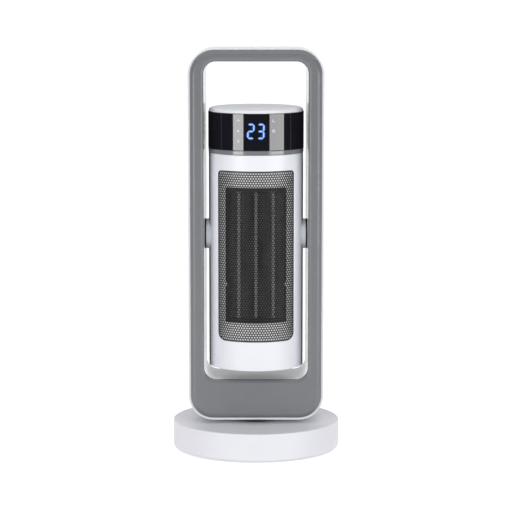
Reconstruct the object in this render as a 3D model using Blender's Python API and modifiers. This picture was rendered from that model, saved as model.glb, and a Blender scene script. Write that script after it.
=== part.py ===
"""Ceramic tower heater: a tower that tilts in a ring frame, which swings on a round base."""

import math

import bmesh
import bpy
from mathutils import Matrix

# Driving sizes, in metres. X is right, the front faces -Y, Z is up, and the floor is at zero.
total_height = 0.550
tower_radius = 0.0643
base_radius = 0.114
base_height = 0.040
clearance = 0.0003  # between two pieces that touch
running = 0.0006  # round a piece that turns
overrun = 0.006  # how far a cutter passes the faces it cuts
weld_distance = 0.00001

base_wall = 0.003
tower_wall = 0.0024
frame_wall = 0.0024
frame_depth = 0.090
frame_low_radius = 0.034
frame_high_radius = 0.036
opening_draft = 0.0025  # each side, front to back
opening_radius = 0.0165
split_y = 0.024  # joint between the two frame shells
seam_angle = 74.5  # front housing, each side of straight ahead

# Steps up from the base
neck_gap = 0.004  # base top to frame bottom
bottom_panel = 0.0576  # frame bottom to the opening
foot_room = 0.0149  # opening to the tower
sill_height = 0.0394  # tower bottom to the window
core_rise = 0.0251  # window to the heater core
blower_lead = 0.005  # blower below the core

frame_bottom = base_height + neck_gap
opening_floor = frame_bottom + bottom_panel
tower_bottom = opening_floor + foot_room
window_low = tower_bottom + sill_height
core_low = window_low + core_rise
blower_low = core_low - blower_lead

# Steps down from the top
top_bar = 0.0161
handle_room = 0.0634  # under the bar, down to the cap
cap_height = 0.0057
band_height = 0.0497
ring_height = 0.0063
tilt_drop = 0.1120
window_drop = 0.0215
core_drop = 0.0288
blower_tail = 0.0025  # blower above the core

opening_top = total_height - top_bar
cap_top = opening_top - handle_room
band_top = cap_top - cap_height
band_bottom = band_top - band_height
housing_top = band_bottom - ring_height
tilt_z = housing_top - tilt_drop
window_high = housing_top - window_drop
core_high = window_high - core_drop
blower_high = core_high + blower_tail

# Widths, out from the tower's axis
side_gap = 0.0063
side_bar = 0.0214
band_step = 0.0007
core_depth = 0.0140
window_low_radius = 0.010
window_high_radius = 0.005
shaft_radius = 0.003

opening_half_width = tower_radius + side_gap  # at the front
frame_half_width = opening_half_width + side_bar
band_radius = tower_radius + band_step
housing_inner = tower_radius - tower_wall
window_half_width = tower_radius * 0.8056
core_half_width = tower_radius * 0.6376
core_front = tower_radius * 0.661  # ahead of the tower's axis
bar_spacing = core_half_width * 0.5683
blower_radius = tower_radius * 0.3733
blower_y = tower_radius * 0.2177
frame_front = -frame_depth / 2
frame_back = frame_depth / 2

gear_teeth = 36
pinion_teeth = 12
gear_module = 0.0015

round_steps = 36
medium_steps = 16
small_steps = 12
screw_steps = 6
corner_steps = 4
fillet_steps = 2


def clear_scene():
    for obj in list(bpy.data.objects):
        bpy.data.objects.remove(obj, do_unlink=True)


def new_collection(name):
    made = bpy.data.collections.new(name)
    bpy.context.scene.collection.children.link(made)
    return made


clear_scene()
parts = new_collection("ceramic_heater")
helpers = new_collection("cutters_and_guides")


def surface(name, colour, roughness, metallic=0.0):
    made = bpy.data.materials.new(name)
    made.use_nodes = True
    shader = made.node_tree.nodes["Principled BSDF"]
    shader.inputs["Base Color"].default_value = (*colour, 1)
    shader.inputs["Roughness"].default_value = roughness
    shader.inputs["Metallic"].default_value = metallic
    return made


white_shell = ("white_shell", (0.80, 0.80, 0.83), 0.35, 0.0)
white_base = ("white_base", (0.78, 0.78, 0.82), 0.45, 0.0)
grey_trim = ("grey_trim", (0.22, 0.23, 0.24), 0.4, 0.0)
grey_shell = ("grey_shell", (0.18, 0.18, 0.19), 0.5, 0.0)
black_gloss = ("black_gloss", (0.01, 0.01, 0.014), 0.08, 0.0)
black_plastic = ("black_plastic", (0.02, 0.02, 0.022), 0.5, 0.0)
black_mesh = ("black_mesh", (0.03, 0.03, 0.033), 0.45, 0.8)
silver = ("silver", (0.45, 0.45, 0.47), 0.25, 1.0)
steel = ("steel", (0.50, 0.50, 0.50), 0.35, 1.0)
aluminium = ("aluminium", (0.60, 0.60, 0.60), 0.4, 1.0)
ceramic = ("ceramic", (0.70, 0.66, 0.60), 0.6, 0.0)
rubber = ("rubber", (0.02, 0.02, 0.02), 0.85, 0.0)
board_green = ("board_green", (0.03, 0.16, 0.07), 0.5, 0.0)
brown_plastic = ("brown_plastic", (0.06, 0.05, 0.045), 0.6, 0.0)
nylon = ("nylon", (0.60, 0.58, 0.52), 0.5, 0.0)


def link(name, mesh, target=parts):
    obj = bpy.data.objects.new(name, mesh)
    target.objects.link(obj)
    return obj


def finish(obj, name, look):
    """Names a finished piece and gives it its own material, smooth where it is round."""
    obj.name = name
    made = surface(name + "_" + look[0], *look[1:])
    obj.data.materials.clear()
    obj.data.materials.append(made)
    if obj.type == "MESH":
        obj.data.shade_smooth()
        obj.data.set_sharp_from_angle(angle=math.radians(35))
    return obj


def as_helper(obj):
    for holder in list(obj.users_collection):
        holder.objects.unlink(obj)
    helpers.objects.link(obj)
    obj.hide_render = True
    obj.display_type = "WIRE"


def boolean(obj, operation, others):
    for other in others:
        step = obj.modifiers.new(operation.title(), "BOOLEAN")
        step.operation = operation
        step.solver = "EXACT"
        step.object = other
        as_helper(other)
    return obj


def cut(obj, *others):
    return boolean(obj, "DIFFERENCE", others)


def join(obj, *others):
    return boolean(obj, "UNION", others)


def keep_inside(obj, *others):
    return boolean(obj, "INTERSECT", others)


# An object's own Z axis is turned to lie along the axis named here.
turns = {"Z": (0, 0, 0), "Y": (math.pi / 2, 0, 0), "X": (math.pi / 2, 0, math.pi / 2)}


def aim(obj, axis, centre):
    obj.rotation_euler = turns[axis]
    obj.location = centre
    return obj


def box(low, high):
    """A box between two corners."""
    bm = bmesh.new()
    bmesh.ops.create_cube(bm, size=1)
    size = [b - a for a, b in zip(low, high)]
    middle = [(a + b) / 2 for a, b in zip(low, high)]
    bmesh.ops.scale(bm, vec=size, verts=bm.verts)
    mesh = bpy.data.meshes.new("box")
    bm.to_mesh(mesh)
    bm.free()
    obj = link("box", mesh)
    obj.location = middle
    return obj


def rod(radius, start, end, axis="Z", at=(0, 0), sides=small_steps):
    """A cylinder from start to end along an axis; at gives its other two coordinates, in order."""
    bm = bmesh.new()
    bmesh.ops.create_cone(
        bm, cap_ends=True, segments=sides, radius1=radius, radius2=radius, depth=end - start
    )
    mesh = bpy.data.meshes.new("rod")
    bm.to_mesh(mesh)
    bm.free()
    middle = (start + end) / 2
    centre = {"Z": (at[0], at[1], middle), "Y": (at[0], middle, at[1]), "X": (middle, at[0], at[1])}[axis]
    obj = link("rod", mesh)
    obj.location = centre
    if axis == "X":
        obj.rotation_euler = (0, math.pi / 2, 0)
    if axis == "Y":
        obj.rotation_euler = (-math.pi / 2, 0, 0)
    return obj


def turned(profile, steps=round_steps, axis="Z", at=(0, 0), closed=False):
    """A profile of (radius, height) run down its outer side and screwed round the axis."""
    mesh = bpy.data.meshes.new("turned")
    last = len(profile) - 1
    edges = [(i, i + 1) for i in range(last)]
    if closed:
        edges.append((last, 0))
    mesh.from_pydata([(radius, 0, height) for radius, height in profile], edges, [])
    obj = link("turned", mesh)
    screw = obj.modifiers.new("Turn", "SCREW")
    screw.steps = steps
    screw.render_steps = steps
    screw.use_merge_vertices = True
    screw.merge_threshold = weld_distance
    obj.location = {"Z": (at[0], at[1], 0), "Y": (at[0], 0, at[1]), "X": (0, at[0], at[1])}[axis]
    if axis == "X":
        obj.rotation_euler = (0, math.pi / 2, 0)
    if axis == "Y":
        obj.rotation_euler = (-math.pi / 2, 0, 0)
    return obj


def tube(inner, outer, start, end, steps=small_steps, axis="Z", at=(0, 0)):
    profile = [(inner, end), (outer, end), (outer, start), (inner, start)]
    return turned(profile, steps, axis, at, closed=True)


def sheet(outlines, start, end, axis="Z"):
    """A flat outline, the later ones holes, given thickness along an axis from start to end."""
    curve = bpy.data.curves.new("sheet", "CURVE")
    curve.dimensions = "2D"
    curve.fill_mode = "BOTH"
    curve.extrude = (end - start) / 2
    for points in outlines:
        spline = curve.splines.new("POLY")
        spline.points.add(len(points) - 1)
        for point, (u, v) in zip(spline.points, points):
            point.co = (u, v, 0, 1)
        spline.use_cyclic_u = True
    middle = (start + end) / 2
    centre = {"Z": (0, 0, middle), "Y": (0, middle, 0), "X": (middle, 0, 0)}[axis]
    return solid(aim(link("sheet", curve), axis, centre))


def solid(obj):
    """The evaluated shape of a curve as a welded mesh object in its place."""
    bpy.context.view_layer.update()
    graph = bpy.context.evaluated_depsgraph_get()
    mesh = bpy.data.meshes.new_from_object(obj.evaluated_get(graph))
    bm = bmesh.new()
    bm.from_mesh(mesh)
    bmesh.ops.remove_doubles(bm, verts=bm.verts, dist=weld_distance)
    bmesh.ops.recalc_face_normals(bm, faces=bm.faces)
    bm.to_mesh(mesh)
    bm.free()
    made = link(obj.name, mesh)
    made.matrix_world = obj.matrix_world.copy()
    bpy.data.objects.remove(obj, do_unlink=True)
    return made


def repeat(source, places):
    """One object that holds a separate copy of the source's shape at each place."""
    bpy.context.view_layer.update()
    graph = bpy.context.evaluated_depsgraph_get()
    mesh = bpy.data.meshes.new_from_object(source.evaluated_get(graph))
    bm = bmesh.new()
    for place in places:
        held = len(bm.verts)
        bm.from_mesh(mesh)
        bm.verts.ensure_lookup_table()
        bmesh.ops.transform(bm, matrix=place @ source.matrix_world, verts=bm.verts[held:])
    made = bpy.data.meshes.new("group")
    bm.to_mesh(made)
    bm.free()
    bpy.data.objects.remove(source, do_unlink=True)
    return link("group", made)


def shifts(places):
    return [Matrix.Translation(place) for place in places]


def tube_run(points, radius):
    """A wire along a polyline, as a curve with filled ends."""
    curve = bpy.data.curves.new("wire", "CURVE")
    curve.dimensions = "3D"
    curve.bevel_depth = radius
    curve.bevel_resolution = 1
    curve.use_fill_caps = True
    spline = curve.splines.new("POLY")
    spline.points.add(len(points) - 1)
    for point, place in zip(spline.points, points):
        point.co = (*place, 1)
    return link("wire", curve)


def smooth_route(points, bend):
    """Cuts each corner of a route at a bend's distance from it, and keeps its two ends."""
    eased = [points[0]]
    for before, corner, after in zip(points, points[1:], points[2:]):
        for other in (before, after):
            share = min(bend / math.dist(corner, other), 1 / 2)
            eased.append(tuple(a + (b - a) * share for a, b in zip(corner, other)))
    eased.append(points[-1])
    return eased


def arc(centre, radius, start, end, steps):
    """Points of an arc, with its angles in degrees."""
    points = []
    for step in range(steps + 1):
        angle = math.radians(start + (end - start) * step / steps)
        points.append((centre[0] + radius * math.cos(angle), centre[1] + radius * math.sin(angle)))
    return points


def rounded_outline(half_width, low, high, low_radius, high_radius, steps=corner_steps):
    """An upright rounded rectangle, from its lower right corner anticlockwise."""
    points = arc((half_width - low_radius, low + low_radius), low_radius, -90, 0, steps)
    points += arc((half_width - high_radius, high - high_radius), high_radius, 0, 90, steps)
    points += arc((high_radius - half_width, high - high_radius), high_radius, 90, 180, steps)
    points += arc((low_radius - half_width, low + low_radius), low_radius, 180, 270, steps)
    return points


def sector(inner, outer, middle, half_angle, steps):
    """A ring sector in plan; its middle angle runs from straight ahead, anticlockwise."""
    centre = middle - 90
    points = arc((0, 0), outer, centre - half_angle, centre + half_angle, steps)
    return points + arc((0, 0), inner, centre + half_angle, centre - half_angle, steps)


def around(radius, angle):
    """A place at a radius from the Z axis; the angle runs anticlockwise from +X."""
    return (radius * math.cos(math.radians(angle)), radius * math.sin(math.radians(angle)))


def screw_shape(head_radius, head_height, shank_radius, length):
    """A pan-head screw that stands head up, with the seat of its head at zero."""
    shoulder_share = 0.75
    profile = [
        (0, head_height),
        (head_radius * shoulder_share, head_height),
        (head_radius, head_height / 2),
        (head_radius, 0),
        (shank_radius, 0),
        (shank_radius, -length),
        (0, -length),
    ]
    return turned(profile, screw_steps)


# Base
rim_height = 0.002
base_top_fillet = 0.002
base_low_fillet = 0.004
back_inset = 0.010
pocket_half_width = 0.040
pocket_low = 0.008
pocket_roof = 0.006
lip_width = 0.0025
lip_height = 0.004
plate_thickness = 0.003
foot_height = 0.0022
foot_radius = 0.007
foot_inset = 0.019
foot_strip_half = 0.003
foot_strip_drop = 0.0010
foot_angles = (30, 150, 210, 270, 330)
base_screw_inset = 0.042
base_screw_angles = (60, 120, 240, 300)
base_boss_radius = 0.0045
small_head_radius = 0.0028
small_head_height = 0.0014
small_shank_radius = 0.0013
small_screw_length = 0.012

base_back = base_radius - back_inset  # floor of the pocket behind
pocket_high = base_height - pocket_roof
foot_circle = base_radius - foot_inset
base_screw_circle = base_radius - base_screw_inset
plate_bottom = foot_height + clearance
plate_top = plate_bottom + plate_thickness
floor_seat = plate_top + clearance
cover_inner = base_height - base_wall
lip_radius = base_radius - base_low_fillet - lip_width

# Swivel, from the frame down through the base
sleeve_radius = 0.015
sleeve_bore = 0.011
sleeve_drop = 0.009  # below the gear
collar_radius = 0.040
thrust_height = 0.0012
thrust_inner = 0.030
thrust_outer = 0.039
hub_flange_radius = 0.031
hub_flange_height = 0.003
gear_roof = 0.002
gear_width = 0.006
retainer_radius = 0.020
retainer_height = 0.0055

gear_high = cover_inner - gear_roof
gear_low = gear_high - gear_width
sleeve_bottom = gear_low - sleeve_drop
collar_low = base_height + 2 * clearance + thrust_height
collar_high = frame_bottom - clearance
hub_flange_low = frame_bottom + frame_wall + clearance
gear_centre = gear_module * (gear_teeth + pinion_teeth) / 2

# Switch and gland in the pocket behind
port_offset = 0.028
port_z = 0.021
switch_half_width = 0.0065
switch_half_height = 0.0098
switch_depth = 0.020
bezel_edge = 0.0016
bezel_depth = 0.002
rocker_half_width = 0.0047
rocker_half_height = 0.0074
rocker_rise = 0.0045
rocker_dip = 0.0028
rocker_depth = 0.006
rocker_pin_radius = 0.001
rocker_throw = 8.0  # degrees each side of level
gland_radius = 0.006
gland_flange_radius = 0.009
gland_bore = 0.0036


def base_solid(radius, top, top_fillet, bottom, low_fillet):
    """A solid disc with both edges rounded."""
    profile = [(0, top)]
    profile += arc((radius - top_fillet, top - top_fillet), top_fillet, 90, 0, fillet_steps)
    profile += arc((radius - low_fillet, bottom + low_fillet), low_fillet, 0, -90, fillet_steps)
    profile.append((0, bottom))
    return turned(profile)


def ahead_of(y):
    """A block that holds all of the base in front of a plane."""
    reach = base_radius + overrun
    return box((-reach, -reach, -overrun), (reach, y, base_height + overrun))


def make_base_cover():
    cover = base_solid(base_radius, base_height, base_top_fillet, rim_height, base_low_fillet)
    pocket = box(
        (-pocket_half_width, base_back, pocket_low), (pocket_half_width, base_radius + overrun, pocket_high)
    )
    cut(cover, pocket)
    lip_top = rim_height + lip_height
    step_top = lip_top + base_low_fillet
    inner = base_radius - base_wall
    hollow = turned(
        [
            (0, cover_inner),
            (inner, cover_inner),
            (inner, step_top),
            (lip_radius, lip_top),
            (lip_radius, rim_height - overrun),
            (0, rim_height - overrun),
        ]
    )
    keep_inside(hollow, ahead_of(base_back - base_wall))
    cut(cover, hollow)
    boss_reach = cover_inner + base_wall / 2
    collar = tube(sleeve_radius, retainer_radius, gear_high + clearance, boss_reach, medium_steps)
    posts = repeat(
        turned(
            [
                (0, boss_reach),
                (base_boss_radius, boss_reach),
                (base_boss_radius, floor_seat),
                (small_shank_radius + clearance, floor_seat),
                (small_shank_radius + clearance, floor_seat + small_screw_length),
                (0, floor_seat + small_screw_length),
            ],
            small_steps,
        ),
        shifts([(*around(base_screw_circle, angle), 0) for angle in base_screw_angles]),
    )
    join(cover, collar, posts)
    bore = rod(sleeve_radius + running, gear_low, base_height + overrun, sides=medium_steps)
    switch_hole = box(
        (
            port_offset - switch_half_width - clearance,
            base_back - base_wall - overrun,
            port_z - switch_half_height - clearance,
        ),
        (
            port_offset + switch_half_width + clearance,
            base_back + overrun,
            port_z + switch_half_height + clearance,
        ),
    )
    gland_hole = rod(
        gland_radius + clearance,
        base_back - base_wall - overrun,
        base_back + overrun,
        "Y",
        (-port_offset, port_z),
    )
    cut(cover, bore, switch_hole, gland_hole)
    return finish(cover, "base_cover", white_base)


def make_base_plate():
    radius = lip_radius - clearance
    plate = rod(radius, plate_bottom, plate_top, sides=round_steps)
    keep_inside(plate, ahead_of(base_back - base_wall - clearance))
    holes = repeat(
        rod(small_shank_radius + clearance, plate_bottom - overrun, plate_top + overrun),
        shifts([(*around(base_screw_circle, angle), 0) for angle in base_screw_angles]),
    )
    pin_hole = rod(plunger_radius + running, plate_bottom - overrun, plate_top + overrun, at=(0, plunger_y))
    cut(plate, holes, pin_hole)
    return finish(plate, "base_plate", black_plastic)


def make_foot_ring():
    """Five soft pads moulded on one thin ring."""
    strip = tube(
        foot_circle - foot_strip_half,
        foot_circle + foot_strip_half,
        foot_height - foot_strip_drop,
        foot_height,
        round_steps,
    )
    pads = repeat(
        rod(foot_radius, 0, foot_height - foot_strip_drop / 4),
        shifts([(*around(foot_circle, angle), 0) for angle in foot_angles]),
    )
    join(strip, pads)
    return finish(strip, "foot_ring", rubber)


# Ballast, a ring left open behind for the switch and the gland
weight_gap = 0.0055  # off the swing motor
weight_inset = 0.014
weight_height = 0.008
weight_half_angle = 140

weight_outer = base_radius - weight_inset


def make_base_weight():
    outline = sector(weight_inner, weight_outer, 0, weight_half_angle, round_steps * 3 // 4)
    return finish(sheet([outline], floor_seat, floor_seat + weight_height), "base_weight", steel)


# Tip-over switch
plunger_radius = 0.004
plunger_inset = 0.054
plunger_travel = 0.005
collar_thickness = 0.002
plunger_collar = 0.0065
plunger_pin_radius = 0.003
plunger_pin_length = 0.006
tip_half_width = 0.011
tip_half_depth = 0.009
tip_headroom = 0.003
tip_roof = 0.004
spring_radius = 0.005
spring_wire = 0.0005
spring_turns = 4
spring_turn_points = 8

plunger_y = plunger_inset - base_radius
tip_top = cover_inner - tip_headroom
plunger_collar_low = plate_top + plunger_travel + running
spring_low = plunger_collar_low + collar_thickness + clearance + spring_wire
spring_high = tip_top - tip_roof - clearance - spring_wire


def make_tip_switch_body():
    body = box(
        (-tip_half_width, plunger_y - tip_half_depth, floor_seat),
        (tip_half_width, plunger_y + tip_half_depth, tip_top),
    )
    bore = rod(plunger_collar + running, floor_seat - overrun, tip_top - tip_roof, at=(0, plunger_y))
    cut(body, bore)
    return finish(body, "tip_switch_body", black_plastic)


def make_tip_plunger():
    top = plunger_collar_low + collar_thickness
    pin_top = top + plunger_pin_length
    profile = [
        (0, pin_top),
        (plunger_pin_radius, pin_top),
        (plunger_pin_radius, top),
        (plunger_collar, top),
        (plunger_collar, plunger_collar_low),
        (plunger_radius, plunger_collar_low),
        (plunger_radius, 0),
        (0, 0),
    ]
    return finish(turned(profile, small_steps, at=(0, plunger_y)), "tip_plunger", nylon)


def make_tip_spring():
    count = spring_turns * spring_turn_points
    points = []
    for step in range(count + 1):
        angle = 2 * math.pi * step / spring_turn_points
        height = spring_low + (spring_high - spring_low) * step / count
        points.append((spring_radius * math.cos(angle), plunger_y + spring_radius * math.sin(angle), height))
    return finish(tube_run(points, spring_wire), "tip_spring", steel)


def make_mains_switch_body():
    back = base_back - base_wall - switch_depth
    face = base_back + clearance + bezel_depth
    bezel = box(
        (
            port_offset - switch_half_width - bezel_edge,
            base_back + clearance,
            port_z - switch_half_height - bezel_edge,
        ),
        (port_offset + switch_half_width + bezel_edge, face, port_z + switch_half_height + bezel_edge),
    )
    body = box(
        (port_offset - switch_half_width, back, port_z - switch_half_height),
        (port_offset + switch_half_width, face - bezel_depth / 2, port_z + switch_half_height),
    )
    join(bezel, body)
    pocket_half = math.hypot(rocker_half_height, rocker_rise)
    pocket = box(
        (
            port_offset - rocker_half_width - clearance,
            base_back - rocker_depth - running * 2,
            port_z - pocket_half,
        ),
        (port_offset + rocker_half_width + clearance, face + overrun, port_z + pocket_half),
    )
    pin_hole = rod(
        rocker_pin_radius + clearance,
        port_offset - switch_half_width + clearance,
        port_offset + switch_half_width - clearance,
        "X",
        (base_back, port_z),
    )
    cut(bezel, pocket, pin_hole)
    return finish(bezel, "mains_switch_body", black_plastic)


def make_mains_switch_rocker():
    """The rocker stands with its upper end pressed in and pivots on the plane of the pocket's floor."""
    corner_share = 0.7
    outline = [
        (rocker_rise, rocker_half_height),
        (rocker_rise * corner_share, 0),
        (rocker_rise, -rocker_half_height),
        (-rocker_dip, -rocker_half_height * corner_share),
        (-rocker_depth, 0),
        (-rocker_dip, rocker_half_height * corner_share),
    ]
    rest = math.radians(rocker_throw)
    leaned = [
        (
            base_back + y * math.cos(rest) - z * math.sin(rest),
            port_z + y * math.sin(rest) + z * math.cos(rest),
        )
        for y, z in outline
    ]
    rocker = sheet([leaned], port_offset - rocker_half_width, port_offset + rocker_half_width, "X")
    pin_reach = switch_half_width - 2 * clearance
    pin = rod(rocker_pin_radius, port_offset - pin_reach, port_offset + pin_reach, "X", (base_back, port_z))
    join(rocker, pin)
    return finish(rocker, "mains_switch_rocker", black_plastic)


def make_cord_gland():
    outer = base_back + clearance + bezel_depth
    seat = base_back + clearance
    inner = base_back - base_wall - clearance
    profile = [
        (gland_bore, outer),
        (gland_flange_radius, outer),
        (gland_flange_radius, seat),
        (gland_radius, seat),
        (gland_radius, inner),
        (gland_flange_radius, inner),
        (gland_flange_radius, inner - bezel_depth),
        (gland_bore, inner - bezel_depth),
    ]
    # The turned profile's height runs along +Y here.
    gland = turned(profile, small_steps, "Y", (-port_offset, port_z), closed=True)
    return finish(gland, "cord_gland", rubber)


# Swing drive
motor_radius = 0.025
motor_offset = 0.0125  # can centre beyond the pinion
motor_drop = 0.005  # below the gear
motor_ear = 0.007
motor_ear_height = 0.002
motor_bore_depth = 0.006
gear_face_extra = 0.0005
pressure_angle = 25
addendum_share = 0.8
dedendum_share = 1.05
backlash_share = 0.08  # of the module, off each flank

motor_top = gear_low - motor_drop
weight_inner = gear_centre + motor_offset + motor_radius + weight_gap


def make_swing_motor():
    centre = gear_centre + motor_offset
    motor = rod(motor_radius, floor_seat, motor_top, at=(centre, 0), sides=medium_steps)
    ears = box(
        (centre - motor_ear, -motor_radius - motor_ear, floor_seat),
        (centre + motor_ear, motor_radius + motor_ear, floor_seat + motor_ear_height),
    )
    join(motor, ears)
    bore_low = motor_top - motor_bore_depth
    cut(motor, rod(shaft_radius + clearance, bore_low, motor_top + overrun, at=(gear_centre, 0)))
    return finish(motor, "swing_motor", steel)


def involute(angle):
    return math.tan(angle) - angle


def gear_outline(teeth, phase):
    """A spur gear's outline with true involute flanks; phase turns it, in radians."""
    pitch_radius = gear_module * teeth / 2
    alpha = math.radians(pressure_angle)
    ground_radius = pitch_radius * math.cos(alpha)
    root = pitch_radius - gear_module * dedendum_share
    tip = pitch_radius + gear_module * addendum_share
    half_tooth = math.pi / teeth / 2 - gear_module * backlash_share / pitch_radius
    flank = []
    for radius in (root, pitch_radius, tip):
        spread = involute(math.acos(min(1, ground_radius / radius)))
        flank.append((radius, half_tooth + involute(alpha) - spread))
    points = []
    for tooth in range(teeth):
        middle = phase + 2 * math.pi * tooth / teeth
        for radius, half in flank:
            points.append((radius * math.cos(middle - half), radius * math.sin(middle - half)))
        for radius, half in reversed(flank):
            points.append((radius * math.cos(middle + half), radius * math.sin(middle + half)))
    return points


def make_swing_pinion():
    outline = gear_outline(pinion_teeth, math.pi / pinion_teeth)
    moved = [(x + gear_centre, y) for x, y in outline]
    pinion = sheet([moved], gear_low - gear_face_extra, gear_high + gear_face_extra)
    stub_bottom = motor_top - motor_bore_depth + clearance
    join(pinion, rod(shaft_radius, stub_bottom, gear_low, at=(gear_centre, 0)))
    return finish(pinion, "swing_pinion", nylon)


def make_swing_gear():
    outline = gear_outline(gear_teeth, 0)
    bore = arc((0, 0), sleeve_radius + clearance, 0, 360, medium_steps)[:-1]
    gear = sheet([outline, bore], gear_low, gear_high)
    return finish(gear, "swing_gear", nylon)


def make_hub_retainer():
    top = gear_low - clearance
    ring = tube(sleeve_radius + clearance, retainer_radius, top - retainer_height, top, medium_steps)
    return finish(ring, "hub_retainer", steel)


def make_thrust_ring():
    low = base_height + clearance
    ring = tube(thrust_inner, thrust_outer, low, low + thrust_height, medium_steps)
    return finish(ring, "thrust_ring", nylon)


def make_neck_collar():
    """A ring nut on the sleeve, which clamps the frame's floor to the hub's flange."""
    collar = tube(sleeve_radius + clearance, collar_radius, collar_low, collar_high, medium_steps)
    return finish(collar, "neck_collar", black_plastic)


def make_swivel_hub():
    flange_top = hub_flange_low + hub_flange_height
    profile = [
        (sleeve_bore, flange_top),
        (hub_flange_radius, flange_top),
        (hub_flange_radius, hub_flange_low),
        (sleeve_radius, hub_flange_low),
        (sleeve_radius, sleeve_bottom),
        (sleeve_bore, sleeve_bottom),
    ]
    hub = turned(profile, medium_steps, closed=True)
    return finish(hub, "swivel_hub", black_plastic)


# Frame
trim_lip = 0.0032  # width of the white rim round the trim
trim_gap = 0.0003
rim_front = 0.008  # rim front, behind the trim's crest
rim_edge = 0.001
web_front = 0.011  # behind the trim's crest
web_thickness = 0.0024
trim_wall = 0.0022
pillow_drop = 0.0035
rear_radius = 0.007
frame_boss_radius = 0.004
rear_boss_radius = 0.0046
rear_sink = 0.0035  # head seat below the back face
rear_screw_length = 0.030
boss_low_inset = 0.0106
boss_rise = 0.031
boss_top_inset = 0.0256

pillow_outer = top_bar * 0.42
pillow_inner = top_bar * 0.31
boss_low_x = opening_half_width - boss_low_inset
boss_top_x = opening_half_width - boss_top_inset
boss_low_z = frame_bottom + boss_rise
boss_top_z = (opening_top + total_height) / 2
frame_boss_places = [
    (side * x, z) for side in (-1, 1) for x, z in ((boss_low_x, boss_low_z), (boss_top_x, boss_top_z))
]


def outer_line(inset):
    return rounded_outline(
        frame_half_width - inset,
        frame_bottom + inset,
        total_height - inset,
        frame_low_radius - inset,
        frame_high_radius - inset,
    )


def inner_line(inset, y):
    drafted = opening_half_width - opening_draft * (y - frame_front) / frame_depth
    return rounded_outline(
        drafted + inset,
        opening_floor - inset,
        opening_top + inset,
        opening_radius + inset,
        opening_radius + inset,
    )


def ring(section):
    """A closed section of outlines, each at its own depth, run round the frame."""
    bm = bmesh.new()
    loops = [[bm.verts.new((x, y, z)) for x, z in line] for line, y in section]
    for first, second in zip(loops, loops[1:] + loops[:1]):
        count = len(first)
        for index in range(count):
            after = (index + 1) % count
            bm.faces.new((first[index], first[after], second[after], second[index]))
    bmesh.ops.recalc_face_normals(bm, faces=bm.faces)
    mesh = bpy.data.meshes.new("ring")
    bm.to_mesh(mesh)
    bm.free()
    return link("ring", mesh)


def posts_along_y(radius, start, end, places):
    return repeat(rod(radius, start, end, "Y"), shifts([(x, 0, z) for x, z in places]))


# Pivots
ear_radius = 0.0205
ear_step = 0.0041
washer_thickness = 0.0010
washer_radius = 0.0190
pivot_radius = 0.0088
pivot_bore = 0.0050
pivot_inset = 0.0095
bush_radius = 0.0120
bush_flange_radius = 0.0165
bush_flange_height = 0.0020
bush_inset = 0.0140
pivot_pad = 0.0030  # thickness of the wall at the pivot
pivot_pad_radius = 0.0170
pivot_nut_radius = 0.0140
pivot_nut_height = 0.0040
neck_radius = 0.0120
neck_inset = 0.0113
trunnion_nut_radius = 0.0170
trunnion_nut_height = 0.0045

ear_face = tower_radius + ear_step
neck_end = tower_radius - neck_inset
pivot_end = frame_half_width - pivot_inset
bush_end = frame_half_width - bush_inset
pivot_seat = ear_face + 2 * clearance + washer_thickness
pivot_wall = pivot_seat + pivot_pad


def for_side(side, start, end):
    """Start and end along X for the right side, or their mirror image for the left."""
    return (start, end) if side > 0 else (-end, -start)


def make_frame_front_shell():
    lip_front = frame_front + rim_front
    web = frame_front + web_front
    web_back = web + web_thickness
    inner_front = frame_front + pillow_drop + clearance
    end = split_y - clearance / 2
    shell = ring(
        [
            (outer_line(0), lip_front + rim_edge),
            (outer_line(rim_edge), lip_front),
            (outer_line(trim_lip), lip_front),
            (outer_line(trim_lip), web),
            (inner_line(frame_wall, web), web),
            (inner_line(frame_wall, inner_front), inner_front),
            (inner_line(0, inner_front), inner_front),
            (inner_line(0, end), end),
            (inner_line(frame_wall, end), end),
            (inner_line(frame_wall, web_back), web_back),
            (outer_line(frame_wall), web_back),
            (outer_line(frame_wall), end),
            (outer_line(0), end),
        ]
    )
    join(shell, posts_along_y(frame_boss_radius, web_back - web_thickness / 2, end, frame_boss_places))
    for side in (-1, 1):
        start, stop = for_side(side, pivot_seat - clearance, pivot_wall)
        join(shell, rod(pivot_pad_radius, start, stop, "X", (0, tilt_z), medium_steps))
    for side in (-1, 1):
        seat = for_side(side, ear_face - overrun, pivot_seat)
        hole = for_side(side, ear_face - overrun, pivot_wall + overrun)
        cut(
            shell,
            rod(washer_radius + running, *seat, "X", (0, tilt_z), medium_steps),
            rod(bush_radius + clearance, *hole, "X", (0, tilt_z), medium_steps),
        )
    screw_bore = end - (rear_screw_length - (frame_back - rear_sink - end)) - clearance
    cut(
        shell,
        posts_along_y(small_shank_radius + clearance, screw_bore, end + overrun, frame_boss_places),
        rod(
            sleeve_radius + clearance,
            frame_bottom - overrun,
            frame_bottom + frame_wall + overrun,
            sides=medium_steps,
        ),
    )
    return finish(shell, "frame_front_shell", white_shell)


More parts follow.
